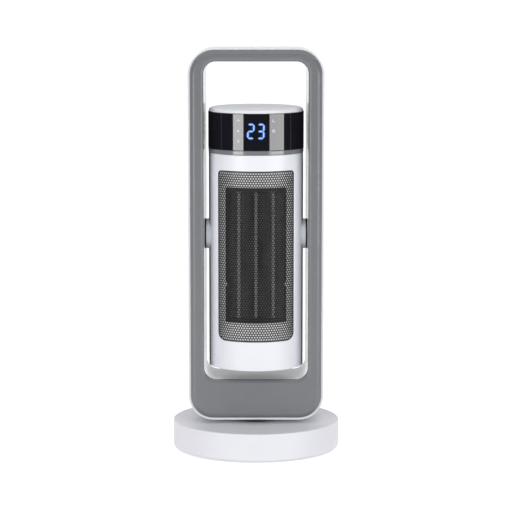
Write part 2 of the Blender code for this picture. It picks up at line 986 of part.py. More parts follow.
def make_frame_rear_shell():
    start = split_y + clearance / 2
    turn = frame_back - rear_radius
    inside = rear_radius - frame_wall
    section = [(outer_line(0), start)]
    for y, inset in arc((turn, rear_radius), rear_radius, -90, 0, fillet_steps):
        section.append((outer_line(inset), y))
    for y, inset in arc((turn, rear_radius), rear_radius, 0, -90, fillet_steps):
        section.append((inner_line(inset, turn), y))
    section.append((inner_line(0, start), start))
    section.append((inner_line(frame_wall, start), start))
    for y, inset in arc((turn, rear_radius), inside, -90, 0, fillet_steps):
        section.append((inner_line(inset, turn), y))
    for y, inset in arc((turn, rear_radius), inside, 0, -90, fillet_steps):
        section.append((outer_line(inset), y))
    section.append((outer_line(frame_wall), start))
    shell = ring(section)
    seat = frame_back - rear_sink - clearance
    join(shell, posts_along_y(rear_boss_radius, start, frame_back - frame_wall / 2, frame_boss_places))
    cut(
        shell,
        posts_along_y(
            small_shank_radius + clearance, start - overrun, frame_back + overrun, frame_boss_places
        ),
        posts_along_y(small_head_radius + clearance, seat, frame_back + overrun, frame_boss_places),
    )
    return finish(shell, "frame_rear_shell", white_shell)


def make_frame_trim():
    crest = frame_front
    back = crest + web_front - clearance
    edge = trim_lip + trim_gap
    lip_front = crest + rim_front
    section = [(outer_line(edge), back)]
    depth = rim_front
    for step in range(fillet_steps + 2):
        angle = math.pi / 2 * step / (fillet_steps + 1)
        inset = edge + pillow_outer * (1 - math.cos(angle))
        section.append((outer_line(inset), lip_front - depth * math.sin(angle)))
    for step in range(fillet_steps):
        angle = math.pi / 2 * step / (fillet_steps - 1)
        inset = pillow_inner * (1 - math.sin(angle))
        y = crest + pillow_drop * (1 - math.cos(angle))
        section.append((inner_line(inset, y), y))
    inner_end = crest + pillow_drop
    section.append((inner_line(trim_wall, inner_end), inner_end))
    section.append((inner_line(pillow_inner, crest + trim_wall), crest + trim_wall))
    section.append((outer_line(edge + pillow_outer), crest + trim_wall))
    middle_inset = edge + trim_wall + (pillow_outer - trim_wall) * (1 - math.cos(math.pi / 4))
    middle_y = lip_front - (depth - trim_wall) * math.sin(math.pi / 4)
    section.append((outer_line(middle_inset), middle_y))
    section.append((outer_line(edge + trim_wall), lip_front))
    section.append((outer_line(edge + trim_wall), back))
    return finish(ring(section), "frame_trim", grey_trim)


def make_frame_screw(x, z):
    """A screw driven in from the back."""
    screw = screw_shape(small_head_radius, small_head_height, small_shank_radius, rear_screw_length)
    screw.rotation_euler = (-math.pi / 2, 0, 0)
    screw.location = (x, frame_back - rear_sink, z)
    side = "left" if x < 0 else "right"
    level = "low" if z < tilt_z else "high"
    return finish(screw, "frame_screw_" + level + "_" + side, steel)


side_names = {-1: "left", 1: "right"}


def make_pivot_bush(side):
    flange_low = pivot_wall + clearance
    flange_high = flange_low + bush_flange_height
    profile = [
        (pivot_radius + clearance, bush_end),
        (bush_radius, bush_end),
        (bush_radius, flange_high),
        (bush_flange_radius, flange_high),
        (bush_flange_radius, flange_low),
        (bush_radius, flange_low),
        (bush_radius, pivot_seat + clearance),
        (pivot_radius + clearance, pivot_seat + clearance),
    ]
    return finish(mirrored_turn(profile, side), "pivot_bush_" + side_names[side], nylon)


def mirrored_turn(profile, side):
    """A closed profile turned round the tilt axis, its heights measured out from the middle."""
    if side < 0:
        profile = [(radius, -height) for radius, height in reversed(profile)]
    return turned(profile, medium_steps, "X", (0, tilt_z), closed=True)


def make_friction_washer(side):
    start = ear_face + clearance
    end = start + washer_thickness
    return side_ring(side, "friction_washer", rubber, pivot_radius + clearance, washer_radius, start, end)


def side_ring(side, name, look, inner, outer, start, end):
    """A plain ring round the tilt axis, on one side of the tower."""
    low, high = for_side(side, start, end)
    made = tube(inner, outer, low, high, medium_steps, "X", (0, tilt_z))
    return finish(made, name + "_" + side_names[side], look)


def make_pivot_nut(side):
    start = bush_end + clearance
    end = start + pivot_nut_height
    return side_ring(side, "pivot_nut", steel, pivot_radius + clearance, pivot_nut_radius, start, end)


def make_trunnion(side):
    low, high = for_side(side, neck_end, ear_face)
    ear = rod(ear_radius, low, high, "X", (0, tilt_z), medium_steps)
    reach = 2 * ear_radius
    cut(ear, rod(tower_radius + clearance, tilt_z - reach, tilt_z + reach, sides=round_steps))
    ends = for_side(side, neck_end, ear_face - washer_thickness)
    neck = rod(neck_radius, *ends, "X", (0, tilt_z), medium_steps)
    shaft = rod(pivot_radius, *for_side(side, neck_end + overrun, pivot_end), "X", (0, tilt_z), medium_steps)
    join(ear, neck, shaft)
    bore = for_side(side, neck_end - overrun, pivot_end + overrun)
    cut(ear, rod(pivot_bore, *bore, "X", (0, tilt_z)))
    return finish(ear, "trunnion_" + side_names[side], white_shell)


def make_trunnion_nut(side):
    reach = math.sqrt(housing_inner**2 - trunnion_nut_radius**2) - clearance
    start = reach - trunnion_nut_height
    return side_ring(side, "trunnion_nut", steel, neck_radius + clearance, trunnion_nut_radius, start, reach)


# Tower housings
tower_boss_radius = 0.0045
tower_boss_inset = 0.0039
tower_boss_height = 0.014
front_boss_angle = 68.5
rear_boss_angle = 130
bottom_thickness = 0.003
deck_drop = 0.0154
deck_thickness = 0.0024
intake_lead = 0.004
intake_tail = 0.011
intake_radius = 0.006
window_steps = 4

tower_boss_circle = housing_inner - tower_boss_inset
deck_z = housing_top - deck_drop
intake_half_width = tower_radius * 0.6843
intake_low = blower_low - intake_lead
intake_high = blower_high + intake_tail
bottom_low = tower_bottom + clearance
bottom_high = bottom_low + bottom_thickness
boss_seat = bottom_high + clearance
deck_seat = deck_z - clearance


def window_line(inset):
    return rounded_outline(
        window_half_width - inset,
        window_low + inset,
        window_high - inset,
        window_low_radius - inset,
        window_high_radius - inset,
        window_steps,
    )


def tower_boss_places(angles):
    """Screw places in plan; the angles run from straight ahead, to both sides."""
    return [around(tower_boss_circle, side * angle - 90) for side in (-1, 1) for angle in angles]


def housing_bosses(angle):
    """Blind screw bosses at the foot of a housing, and plain posts that carry the deck at its head."""
    bore = small_shank_radius + clearance
    foot_top = boss_seat + tower_boss_height
    head_low = deck_seat - tower_boss_height
    foot = [
        (0, foot_top),
        (tower_boss_radius, foot_top),
        (tower_boss_radius, boss_seat),
        (bore, boss_seat),
        (bore, boss_seat + small_screw_length),
        (0, boss_seat + small_screw_length),
    ]
    head = [(0, deck_seat), (tower_boss_radius, deck_seat), (tower_boss_radius, head_low), (0, head_low)]
    places = [(x, y, 0) for x, y in tower_boss_places((angle,))]
    return [repeat(turned(profile, small_steps), shifts(places)) for profile in (foot, head)]


def make_front_housing():
    outline = sector(housing_inner, tower_radius, 0, seam_angle, round_steps // 2)
    housing = sheet([outline], tower_bottom, housing_top)
    join(housing, *housing_bosses(front_boss_angle))
    cut(housing, sheet([window_line(0)], -tower_radius - overrun, -core_depth, "Y"))
    return finish(housing, "front_housing", white_shell)


def make_rear_housing():
    half_angle = 180 - seam_angle - math.degrees(clearance / tower_radius)
    outline = sector(housing_inner, tower_radius, 180, half_angle, round_steps * 3 // 4)
    housing = sheet([outline], tower_bottom, housing_top)
    join(housing, *housing_bosses(rear_boss_angle))
    intake = rounded_outline(
        intake_half_width, intake_low, intake_high, intake_radius, intake_radius, window_steps
    )
    cut(housing, sheet([intake], core_depth, tower_radius + overrun, "Y"))
    for side in (-1, 1):
        hole = for_side(side, neck_end - overrun, tower_radius + overrun)
        cut(housing, rod(neck_radius + clearance, *hole, "X", (0, tilt_z), medium_steps))
    return finish(housing, "rear_housing", grey_shell)


# Intake grille
intake_recess = 0.0004
intake_slot_height = 0.012
intake_rib = 0.0050
intake_post = 0.004
intake_columns = 2

intake_column = tower_radius * 0.591


def make_intake_grille():
    outer = tower_radius - intake_recess
    inset = clearance
    outline = sector(housing_inner, outer, 180, seam_angle * 2 / 3, small_steps)
    grille = sheet([outline], intake_low + inset, intake_high - inset)
    edge = rounded_outline(
        intake_half_width - inset,
        intake_low + inset,
        intake_high - inset,
        intake_radius - inset,
        intake_radius - inset,
        window_steps,
    )
    keep_inside(grille, sheet([edge], core_depth, tower_radius + overrun, "Y"))
    pitch = intake_slot_height + intake_rib
    rows = int((intake_high - intake_low - 2 * intake_rib) / pitch)
    first = (intake_low + intake_high) / 2 - pitch * (rows - 1) / 2
    column_pitch = intake_column + intake_post
    slot = box(
        (-intake_column / 2, 0, -intake_slot_height / 2),
        (intake_column / 2, tower_radius + overrun, intake_slot_height / 2),
    )
    places = [
        ((column - (intake_columns - 1) / 2) * column_pitch, 0, first + pitch * row)
        for column in range(intake_columns)
        for row in range(rows)
    ]
    cut(grille, repeat(slot, shifts(places)))
    return finish(grille, "intake_grille", grey_shell)


# Outlet grille, baffle and heater
mesh_recess = 0.0010
mesh_thickness = 0.0008
slot_bar = 0.0026
slot_columns = 9
slot_rows = 2
slot_margin = 0.008
baffle_depth = 0.0155  # plate back behind the core front
baffle_thickness = 0.002
baffle_overlap = 0.0022
baffle_drop = 0.0059
baffle_headroom = 0.0004
funnel_depth = 0.0065
funnel_corner = 0.0004
baffle_rim = 0.002
heater_frame_edge = 0.0025
heater_flange = 0.0035
heater_flange_thickness = 0.002
electrode_thickness = 0.0006
stone_thickness = 0.0024
stone_gap = 0.0010
stone_joint_depth = 0.0015
stones_per_bar = 6
strap_thickness = 0.0010
fin_thickness = 0.0006
fin_folds = 16
fin_recess = 0.0005  # fins behind the strap's faces

slot_width = tower_radius * 0.1244
baffle_plate_back = core_front - baffle_depth  # ahead of the axis
baffle_half_width = window_half_width + baffle_overlap
baffle_low = window_low - baffle_drop
baffle_high = deck_z - baffle_headroom
mesh_outer = tower_radius - mesh_recess
mesh_inner = mesh_outer - mesh_thickness
bar_half = stone_thickness / 2 + clearance + electrode_thickness
core_back = core_front - core_depth
flange_front = baffle_plate_back - clearance


def make_outlet_grille():
    outline = sector(mesh_inner, mesh_outer, 0, seam_angle * 4 / 5, medium_steps - 2)
    grille = sheet([outline], window_low + clearance, window_high - clearance)
    keep_inside(grille, sheet([window_line(clearance)], -tower_radius - overrun, -core_depth, "Y"))
    rows_low = window_low + slot_margin
    row_pitch = (window_high - window_low - 2 * slot_margin + slot_bar) / slot_rows
    column_pitch = slot_width + slot_bar
    slot = box(
        (-slot_width / 2, -tower_radius - overrun, rows_low),
        (slot_width / 2, -core_depth, rows_low + row_pitch - slot_bar),
    )
    places = [
        ((column - (slot_columns - 1) / 2) * column_pitch, 0, row * row_pitch)
        for column in range(slot_columns)
        for row in range(slot_rows)
    ]
    cut(grille, repeat(slot, shifts(places)))
    return finish(grille, "outlet_grille", black_mesh)


def heater_frame_line(edge):
    return [
        (-core_half_width - edge, core_low - edge),
        (core_half_width + edge, core_low - edge),
        (core_half_width + edge, core_high + edge),
        (-core_half_width - edge, core_high + edge),
    ]


def make_outlet_baffle():
    """A duct plate round the heater, with a rim and a funnel that run forward to the grille."""
    plate_front = -baffle_plate_back - baffle_thickness
    outer = [
        (-baffle_half_width, baffle_low),
        (baffle_half_width, baffle_low),
        (baffle_half_width, baffle_high),
        (-baffle_half_width, baffle_high),
    ]
    hole = heater_frame_line(heater_frame_edge + clearance)
    plate = sheet([outer, hole], plate_front, -baffle_plate_back, "Y")
    rim = sheet(
        [window_line(2 * clearance), window_line(2 * clearance + baffle_rim)],
        -tower_radius,
        plate_front + baffle_thickness / 2,
        "Y",
    )
    wide = window_line(2 * clearance + baffle_rim / 2)
    edge = heater_frame_edge + clearance
    narrow = rounded_outline(
        core_half_width + edge, core_low - edge, core_high + edge, funnel_corner, funnel_corner, window_steps
    )
    wide_front = funnel_depth - core_front
    funnel = ring(
        [
            (wide, wide_front),
            (narrow, -core_front),
            (narrow, baffle_thickness - core_front),
            (wide, wide_front + baffle_thickness),
        ]
    )
    join(plate, rim, funnel)
    low, high = baffle_low - overrun, baffle_high + overrun
    keep_inside(plate, rod(mesh_inner - clearance, low, high, sides=round_steps))
    return finish(plate, "outlet_baffle", white_shell)


def make_heater_frame():
    front = -core_front - clearance
    back = -flange_front + heater_flange_thickness / 2
    body = sheet([heater_frame_line(heater_frame_edge), heater_frame_line(clearance)], front, back, "Y")
    flange = sheet(
        [heater_frame_line(heater_frame_edge + heater_flange), heater_frame_line(clearance)],
        -flange_front,
        -flange_front + heater_flange_thickness,
        "Y",
    )
    join(body, flange)
    return finish(body, "heater_frame", brown_plastic)


def bar_places():
    return [column * bar_spacing for column in (-1, 0, 1)]


def make_heater_bars():
    """Three bars of ceramic stones between electrodes, hung from one bus strap along the top."""
    strap_low = core_high - strap_thickness
    bar_low = core_low + strap_thickness + clearance
    reach = bar_spacing + bar_half
    strap = box((-reach, -core_front, strap_low), (reach, -core_back, core_high))
    bar = box((-bar_half, -core_front, bar_low), (bar_half, -core_back, strap_low + strap_thickness / 2))
    length = (strap_low - bar_low) / stones_per_bar
    joint = box(
        (-reach - overrun, -core_front - overrun, bar_low + length - stone_gap / 2),
        (reach + overrun, -core_front + stone_joint_depth, bar_low + length + stone_gap / 2),
    )
    join(strap, repeat(bar, shifts([(x, 0, 0) for x in bar_places()])))
    cut(strap, repeat(joint, shifts([(0, 0, row * length) for row in range(stones_per_bar - 1)])))
    return finish(strap, "heater_bars", aluminium)


def fin_outline(left, right):
    """A zigzag strip in front view between two bars, from the foot strap up to the bus strap."""
    low = core_low + strap_thickness / 2
    high = core_high - strap_thickness - clearance
    step = (high - low) / fin_folds
    slope = (right - left - 2 * clearance) / step
    width = fin_thickness * math.sqrt(1 + slope**2)
    first, last = left + clearance, right - clearance - width
    near, far = [], []
    for fold in range(fin_folds + 1):
        x = first if fold % 2 == 0 else last
        near.append((x, low + step * fold))
        far.append((x + width, low + step * fold))
    return near + far[::-1]


def make_heater_fins():
    places = bar_places()
    spans = [(-core_half_width, places[0] - bar_half)]
    spans += [(a + bar_half, b - bar_half) for a, b in zip(places, places[1:])]
    spans.append((places[-1] + bar_half, core_half_width))
    ends = (-core_front + fin_recess, -core_back - fin_recess)
    columns = [sheet([fin_outline(*span)], *ends, "Y") for span in spans]
    strap_top = core_low + strap_thickness
    strap = box((-core_half_width, -core_front, core_low), (core_half_width, -core_back, strap_top))
    join(strap, *columns)
    return finish(strap, "heater_fins", aluminium)


cutout_radius = 0.008
cutout_height = 0.006
cutout_x = 0.020
cutout_rise = 0.014  # above the blower

cutout_z = blower_high + cutout_rise


def make_thermal_cutout():
    start = -baffle_plate_back + clearance
    body = rod(cutout_radius, start, start + cutout_height, "Y", (cutout_x, cutout_z))
    return finish(body, "thermal_cutout", steel)


# Blower
scroll_wall = 0.0016
scroll_plate = 0.002
scroll_gap = 0.005  # wheel end to plate
scroll_start = 0.0045  # off the wheel
scroll_start_angle = 50
tongue_clearance = 0.004
duct_step = 0.002
blade_count = 14
blade_thickness = 0.0012
blade_depth = 0.0065
disc_thickness = 0.0016
motor_can_step = 0.002
motor_can_height = 0.027
bearing_radius = 0.009
bearing_height = 0.005
plate_hole_radius = 0.006

scroll_start_radius = blower_radius + scroll_start
duct_half_width = core_half_width + duct_step
inlet_half_width = tower_radius * 0.7
inlet_y = tower_radius * 0.6221
motor_can_radius = blower_radius + motor_can_step
duct_seat = flange_front - heater_flange_thickness - clearance  # ahead of the axis
duct_front = duct_seat - scroll_wall / 2
scroll_low = blower_low - scroll_gap
scroll_high = blower_high + scroll_gap


def band(points, thickness):
    """The outline of a wall of even thickness along a polyline."""
    left, right = [], []
    for index, point in enumerate(points):
        before = points[max(index - 1, 0)]
        after = points[min(index + 1, len(points) - 1)]
        run = math.hypot(after[0] - before[0], after[1] - before[1])
        nx, ny = (before[1] - after[1]) / run, (after[0] - before[0]) / run
        left.append((point[0] + nx * thickness / 2, point[1] + ny * thickness / 2))
        right.append((point[0] - nx * thickness / 2, point[1] - ny * thickness / 2))
    return left + right[::-1]


def spiral_wall():
    """A logarithmic spiral round the wheel's left side, from near the intake to the duct."""
    end_x, end_y = -duct_half_width, -duct_front - blower_y
    end_radius = math.hypot(end_x, end_y)
    end_angle = math.degrees(math.atan2(-end_x, end_y))
    steps = small_steps // 2
    points = []
    for step in range(steps + 1):
        share = step / steps
        radius = scroll_start_radius * (end_radius / scroll_start_radius) ** share
        angle = math.radians(scroll_start_angle + (end_angle - scroll_start_angle) * share)
        points.append((-radius * math.sin(angle), blower_y + radius * math.cos(angle)))
    return points


def tongue_wall():
    """The wall on the wheel's right side, which comes close to it and turns back."""
    near = blower_radius + tongue_clearance
    points = [(duct_half_width, -duct_front)]
    for angle in (125, 105, 85):
        x = near * math.sin(math.radians(angle))
        points.append((x, blower_y + near * math.cos(math.radians(angle))))
    points.append((inlet_half_width, inlet_y))
    return points


def make_blower_scroll():
    overlap = scroll_plate / 2
    low = scroll_low + overlap
    high = scroll_high - overlap
    spiral = spiral_wall()
    lip = [(-inlet_half_width, inlet_y), spiral[0]]
    walls = [sheet([band(points, scroll_wall)], low, high) for points in (spiral, lip, tongue_wall())]
    edge = scroll_wall / 2
    outline = [
        (-duct_half_width - edge, -duct_seat),
        (duct_half_width + edge, -duct_seat),
        (inlet_half_width + edge, inlet_y),
        (0, blower_y + blower_radius + scroll_gap),
        (-inlet_half_width - edge, inlet_y),
    ]
    hole = arc((0, blower_y), plate_hole_radius, 0, 360, small_steps)[:-1]
    bottom = sheet([outline, hole], scroll_low, scroll_low + scroll_plate)
    top = sheet([outline, hole], scroll_high - scroll_plate, scroll_high)
    join(bottom, *walls, top)
    return finish(bottom, "blower_scroll", black_plastic)


def make_blower_wheel():
    at = (0, blower_y)
    half = (blower_high - blower_low - disc_thickness) / 2
    lows = [blower_low + half * step for step in range(3)]
    discs = [
        tube(shaft_radius + clearance, blower_radius, low, low + disc_thickness, medium_steps, at=at)
        for low in lows
    ]
    blades = []
    lean = 30
    for index in range(blade_count):
        middle = 360 * index / blade_count
        outer = around(blower_radius - blade_thickness, middle)
        inner = around(blower_radius - blade_thickness - blade_depth, middle - lean / 2)
        points = [(outer[0], outer[1] + blower_y), (inner[0], inner[1] + blower_y)]
        blades.append(band(points, blade_thickness))
    cage = sheet(blades, blower_low + disc_thickness / 2, blower_high - disc_thickness / 2)
    wheel = join(discs[0], *discs[1:], cage)
    return finish(wheel, "blower_wheel", black_plastic)


def make_blower_shaft():
    low = scroll_low - clearance - motor_can_height / 2
    high = scroll_high + clearance + bearing_height
    return finish(rod(shaft_radius, low, high, at=(0, blower_y)), "blower_shaft", steel)


def make_blower_motor():
    top = scroll_low - clearance
    motor = rod(motor_can_radius, top - motor_can_height, top, at=(0, blower_y), sides=medium_steps)
    bore_low = top - motor_can_height / 2 - running
    cut(motor, rod(shaft_radius + clearance, bore_low, top + overrun, at=(0, blower_y)))
    return finish(motor, "blower_motor", steel)


def make_blower_bearing():
    low = scroll_high + clearance
    bearing = tube(
        shaft_radius + clearance, bearing_radius, low, low + bearing_height, small_steps, at=(0, blower_y)
    )
    return finish(bearing, "blower_bearing", steel)


# Bottom cap, boards and deck
board_thickness = 0.0016
board_post_radius = 0.003
board_post_height = 0.007
board_post_inset = 0.006
relay_width = 0.018
relay_depth = 0.014
relay_height = 0.010
relay_x = 0.020
relay_y = 0.012
capacitor_radius = 0.005
capacitor_height = 0.011
bracket_half_width = 0.025
bracket_thickness = 0.0025
bracket_drop = 0.0098
display_rise = 0.0059
display_drop = 0.0058
display_middle = 0.0257  # above the band's foot
led_half_height = 0.0125
led_recess = 0.0044
guide_radius = 0.002
guide_recess = 0.0085
guide_plate = 0.0010
guide_edge = 0.0030
guide_spacing = 0.0130
guide_drop = 0.0113
wire_hole_inset = 0.0054
wire_hole_angle = 157
wire_hole_radius = 0.005

board_low = bottom_high + board_post_height
deck_high = deck_z + deck_thickness
board_half_width = tower_radius * 0.622
board_half_depth = tower_radius * 0.4977
board_post_x = board_half_width - board_post_inset
board_post_y = board_half_depth - board_post_inset
bracket_front = tower_radius * 0.7932
bracket_top = band_top - bracket_drop
display_half_width = tower_radius * 0.4977
display_low = band_bottom + display_rise
display_high = band_top - display_drop
display_centre = band_bottom + display_middle
led_half_width = tower_radius * 0.2333
led_reach = band_radius - led_recess
guide_offset = tower_radius * 0.3733
guide_reach = band_radius - guide_recess
guide_top = band_top - guide_drop
wire_hole = around(housing_inner - wire_hole_inset, wire_hole_angle)


def make_bottom_cap():
    cap = rod(housing_inner - clearance, bottom_low, bottom_high, sides=round_steps)
    posts = repeat(
        rod(board_post_radius, bottom_high - bottom_thickness / 2, board_low - clearance, sides=screw_steps),
        shifts([(x, y, 0) for x in (-board_post_x, board_post_x) for y in (-board_post_y, board_post_y)]),
    )
    join(cap, posts)
    holes = repeat(
        rod(small_shank_radius + clearance, bottom_low - overrun, bottom_high + overrun, sides=screw_steps),
        shifts([(x, y, 0) for x, y in tower_boss_places((front_boss_angle, rear_boss_angle))]),
    )
    sinks = repeat(
        rod(
            small_head_radius + clearance,
            bottom_low - overrun,
            bottom_low + small_head_height,
            sides=small_steps,
        ),
        shifts([(x, y, 0) for x, y in tower_boss_places((front_boss_angle, rear_boss_angle))]),
    )
    cut(cap, holes, sinks)
    return finish(cap, "bottom_cap", grey_shell)


def make_control_board():
    top = board_low + board_thickness
    board = box((-board_half_width, -board_half_depth, board_low), (board_half_width, board_half_depth, top))
    overlap = board_thickness / 2
    relays = repeat(
        box((0, 0, top - overlap), (relay_width, relay_depth, top + relay_height)),
        shifts([(relay_x - relay_width / 2, relay_y, 0), (-relay_x - relay_width / 2, relay_y, 0)]),
    )
    capacitors = repeat(
        rod(capacitor_radius, top - overlap, top + capacitor_height, sides=screw_steps),
        shifts([(relay_x, -relay_y, 0), (0, -relay_y, 0)]),
    )
    join(board, relays, capacitors)
    return finish(board, "control_board", board_green)


def make_electronics_deck():
    deck = rod(housing_inner - clearance, deck_z, deck_high, sides=round_steps)
    bracket = box(
        (-bracket_half_width, -bracket_front, deck_z + deck_thickness / 2),
        (bracket_half_width, -bracket_front + bracket_thickness, bracket_top),
    )
    join(deck, bracket)
    cut(deck, rod(wire_hole_radius, deck_z - overrun, deck_high + overrun, at=wire_hole))
    return finish(deck, "electronics_deck", black_plastic)


def make_display_module():
    back = -bracket_front - clearance
    front = back - board_thickness
    board = box((-display_half_width, front, display_low), (display_half_width, back, display_high))
    block = box(
        (-led_half_width, -led_reach, display_centre - led_half_height),
        (led_half_width, front + board_thickness / 2, display_centre + led_half_height),
    )
    join(board, block)
    return finish(board, "display_module", board_green)


def guide_places():
    """Icon windows: three on the left and two on the right, down from the top."""
    left = [(-guide_offset, guide_top - guide_spacing * row) for row in range(3)]
    right = [(guide_offset, guide_top - guide_spacing * row) for row in range(2)]
    return left + right


def make_icon_light_guide():
    """One clear moulding: a plate round the digits with a stub behind each icon."""
    back = -bracket_front - 2 * clearance - board_thickness
    front = back - guide_plate
    half = guide_offset + guide_edge / 2
    low = guide_top - 2 * guide_spacing - guide_edge
    high = guide_top + guide_edge
    outer = [(-half, low), (half, low), (half, high), (-half, high)]
    near = led_half_width + clearance
    top = display_centre + led_half_height + clearance
    bottom = display_centre - led_half_height - clearance
    hole = [(-near, bottom), (near, bottom), (near, top), (-near, top)]
    plate = sheet([outer, hole], front, back, "Y")
    join(plate, posts_along_y(guide_radius, -guide_reach, back - guide_plate / 2, guide_places()))
    return finish(plate, "icon_light_guide", nylon)


# Ring, band and cap
band_wall = 0.0022
ring_step = 0.0005
spigot_gap = 0.0004
spigot_wall = 0.0018
spigot_height = 0.0040
cap_wall = 0.0026
cap_edge_radius = 0.0055
cap_spigot_height = 0.005

ring_radius = tower_radius + ring_step
spigot_outer = min(housing_inner, band_radius - band_wall) - spigot_gap


def make_silver_ring():
    low = housing_top + clearance
    high = band_bottom - clearance
    inner = spigot_outer - spigot_wall
    profile = [
        (inner, high + spigot_height),
        (spigot_outer, high + spigot_height),
        (spigot_outer, high),
        (ring_radius, high),
        (ring_radius, low),
        (spigot_outer, low),
        (spigot_outer, low - spigot_height),
        (inner, low - spigot_height),
    ]
    return finish(turned(profile, closed=True), "silver_ring", silver)


def make_display_band():
    return finish(
        tube(band_radius - band_wall, band_radius, band_bottom, band_top - clearance, round_steps),
        "display_band",
        black_gloss,
    )


def make_top_cap():
    crown = cap_edge_radius / 10
    edge_top = cap_top - crown
    spigot_radius = band_radius - band_wall - spigot_gap
    profile = [(0, cap_top)]
    for radius, height in arc((0, 0), 1, 90, 0, fillet_steps):
        profile.append(
            (
                tower_radius - cap_edge_radius + cap_edge_radius * radius,
                band_top + (edge_top - band_top) * height,
            )
        )
    profile += [
        (spigot_radius, band_top),
        (spigot_radius, band_top - cap_spigot_height),
        (spigot_radius - spigot_wall, band_top - cap_spigot_height),
        (spigot_radius - spigot_wall, cap_top - cap_wall - crown),
        (0, cap_top - cap_wall),
    ]
    return finish(turned(profile), "top_cap", white_shell)


# Wiring
lead_radius = 0.0018
lead_bend = 0.007
lead_level = 0.010
lead_inset = 0.0038  # from the opening, in the frame's right member
lead_outer_inset = 0.0049
lead_rise = 0.018
tower_lead_y = 0.004

lead_side = opening_half_width + lead_inset
lead_outer = frame_half_width - lead_outer_inset
lead_low = frame_bottom + lead_rise
tower_lead_x = tower_radius * 0.7543


def make_base_wiring():
    gland_inner = base_back - base_wall
    top = sleeve_bottom + overrun / 3
    route = [
        (-port_offset, gland_inner, port_z),
        (-port_offset, gland_inner - 2 * gland_flange_radius, port_z),
        (-port_offset / 2, base_back / 2, lead_level),
        (0, sleeve_radius * 2, lead_level),
        (0, 0, lead_level),
        (0, 0, top),
    ]
    return finish(tube_run(smooth_route(route, lead_bend), lead_radius), "base_wiring", rubber)


def make_frame_wiring():
    start = sleeve_bottom + overrun / 3 + clearance
    turn_z = hub_flange_low + hub_flange_height + lead_radius * 5
    route = [
        (0, 0, start),
        (0, 0, turn_z),
        (boss_low_x / 2, 0, lead_low),
        (lead_side - lead_radius * 3, 0, lead_low),
        (lead_side, 0, opening_floor),
        (lead_side, 0, tilt_z - 4 * ear_radius),
        (lead_outer, 0, tilt_z - 2 * ear_radius),
        (lead_outer, 0, tilt_z),
        (pivot_seat, 0, tilt_z),
    ]
    return finish(tube_run(smooth_route(route, lead_bend), lead_radius), "frame_wiring", rubber)


def make_tower_wiring():
    """One harness: in through the right trunnion, down to the control board, then up to the display."""
    board_top = board_low + board_thickness
    over_board = board_top + relay_height / 2
    bracket_back = -bracket_front + bracket_thickness + clearance
    route = [
        (pivot_seat - clearance, 0, tilt_z),
        (tower_lead_x, 0, tilt_z),
        (tower_lead_x, tower_lead_y, tilt_z - 2 * ear_radius),
        (tower_lead_x, tower_lead_y, over_board + relay_height),
        (board_half_width, 0, over_board),
        (-board_half_width, 0, over_board),
        (*wire_hole, over_board + 2 * relay_height),
        (*wire_hole, deck_high + relay_height),
        (-bracket_half_width, -bracket_front / 2, display_low),
        (-bracket_half_width, -bracket_front / 2, display_centre),
        (-bracket_half_width / 2, bracket_back + lead_radius, display_centre),
    ]
    return finish(tube_run(smooth_route(route, lead_bend), lead_radius), "tower_wiring", rubber)


def pivot(name, place):
    """An empty on a joint's axis, which carries the pieces that turn or slide there."""
    empty = bpy.data.objects.new(name, None)
    empty.location = place
    parts.objects.link(empty)
    return empty


def carry(empty, pieces):
    bpy.context.view_layer.update()
    for piece in pieces:
        piece.parent = empty
        piece.matrix_parent_inverse = empty.matrix_world.inverted()


def build_base():
    make_base_cover()
    make_base_plate()
    make_foot_ring()
    make_base_weight()
    make_tip_switch_body()
    make_tip_spring()
    make_mains_switch_body()
    make_cord_gland()
    make_swing_motor()
    make_thrust_ring()
    make_base_wiring()
    carry(pivot("tip_slide", (0, plunger_y, 0)), [make_tip_plunger()])
    carry(pivot("rocker_hinge", (port_offset, base_back, port_z)), [make_mains_switch_rocker()])
    carry(pivot("pinion_hinge", (gear_centre, 0, gear_low)), [make_swing_pinion()])


def build_frame():
    pieces = [
        make_swivel_hub(),
        make_neck_collar(),
        make_swing_gear(),
        make_hub_retainer(),
        make_frame_front_shell(),
        make_frame_rear_shell(),
        make_frame_trim(),
        make_frame_wiring(),
    ]
    pieces += [make_frame_screw(x, z) for x, z in frame_boss_places]
    for side in (-1, 1):
        pieces += [make_pivot_bush(side), make_friction_washer(side), make_pivot_nut(side)]
    swing = pivot("swing_hinge", (0, 0, base_height))
    carry(swing, pieces)
    return swing


def build_tower():
    pieces = [
        make_front_housing(),
        make_rear_housing(),
        make_intake_grille(),
        make_outlet_grille(),
        make_outlet_baffle(),
        make_heater_frame(),
        make_heater_bars(),
        make_heater_fins(),
        make_thermal_cutout(),
        make_blower_scroll(),
        make_blower_motor(),
        make_blower_bearing(),
        make_bottom_cap(),
        make_control_board(),
        make_electronics_deck(),
        make_display_module(),
        make_icon_light_guide(),
        make_silver_ring(),
        make_display_band(),
        make_top_cap(),
        make_tower_wiring(),
    ]
    for side in (-1, 1):
        pieces += [make_trunnion(side), make_trunnion_nut(side)]
    tilt = pivot("tilt_hinge", (0, 0, tilt_z))
    carry(tilt, pieces)
    spin = pivot("blower_hinge", (0, blower_y, blower_low))
    carry(spin, [make_blower_wheel(), make_blower_shaft()])
    return tilt, spin


build_base()
swing_hinge = build_frame()
tilt_hinge, blower_hinge = build_tower()
carry(swing_hinge, [tilt_hinge])
carry(tilt_hinge, [blower_hinge])
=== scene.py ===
import math

import bmesh
import bpy
from mathutils import Matrix, Vector


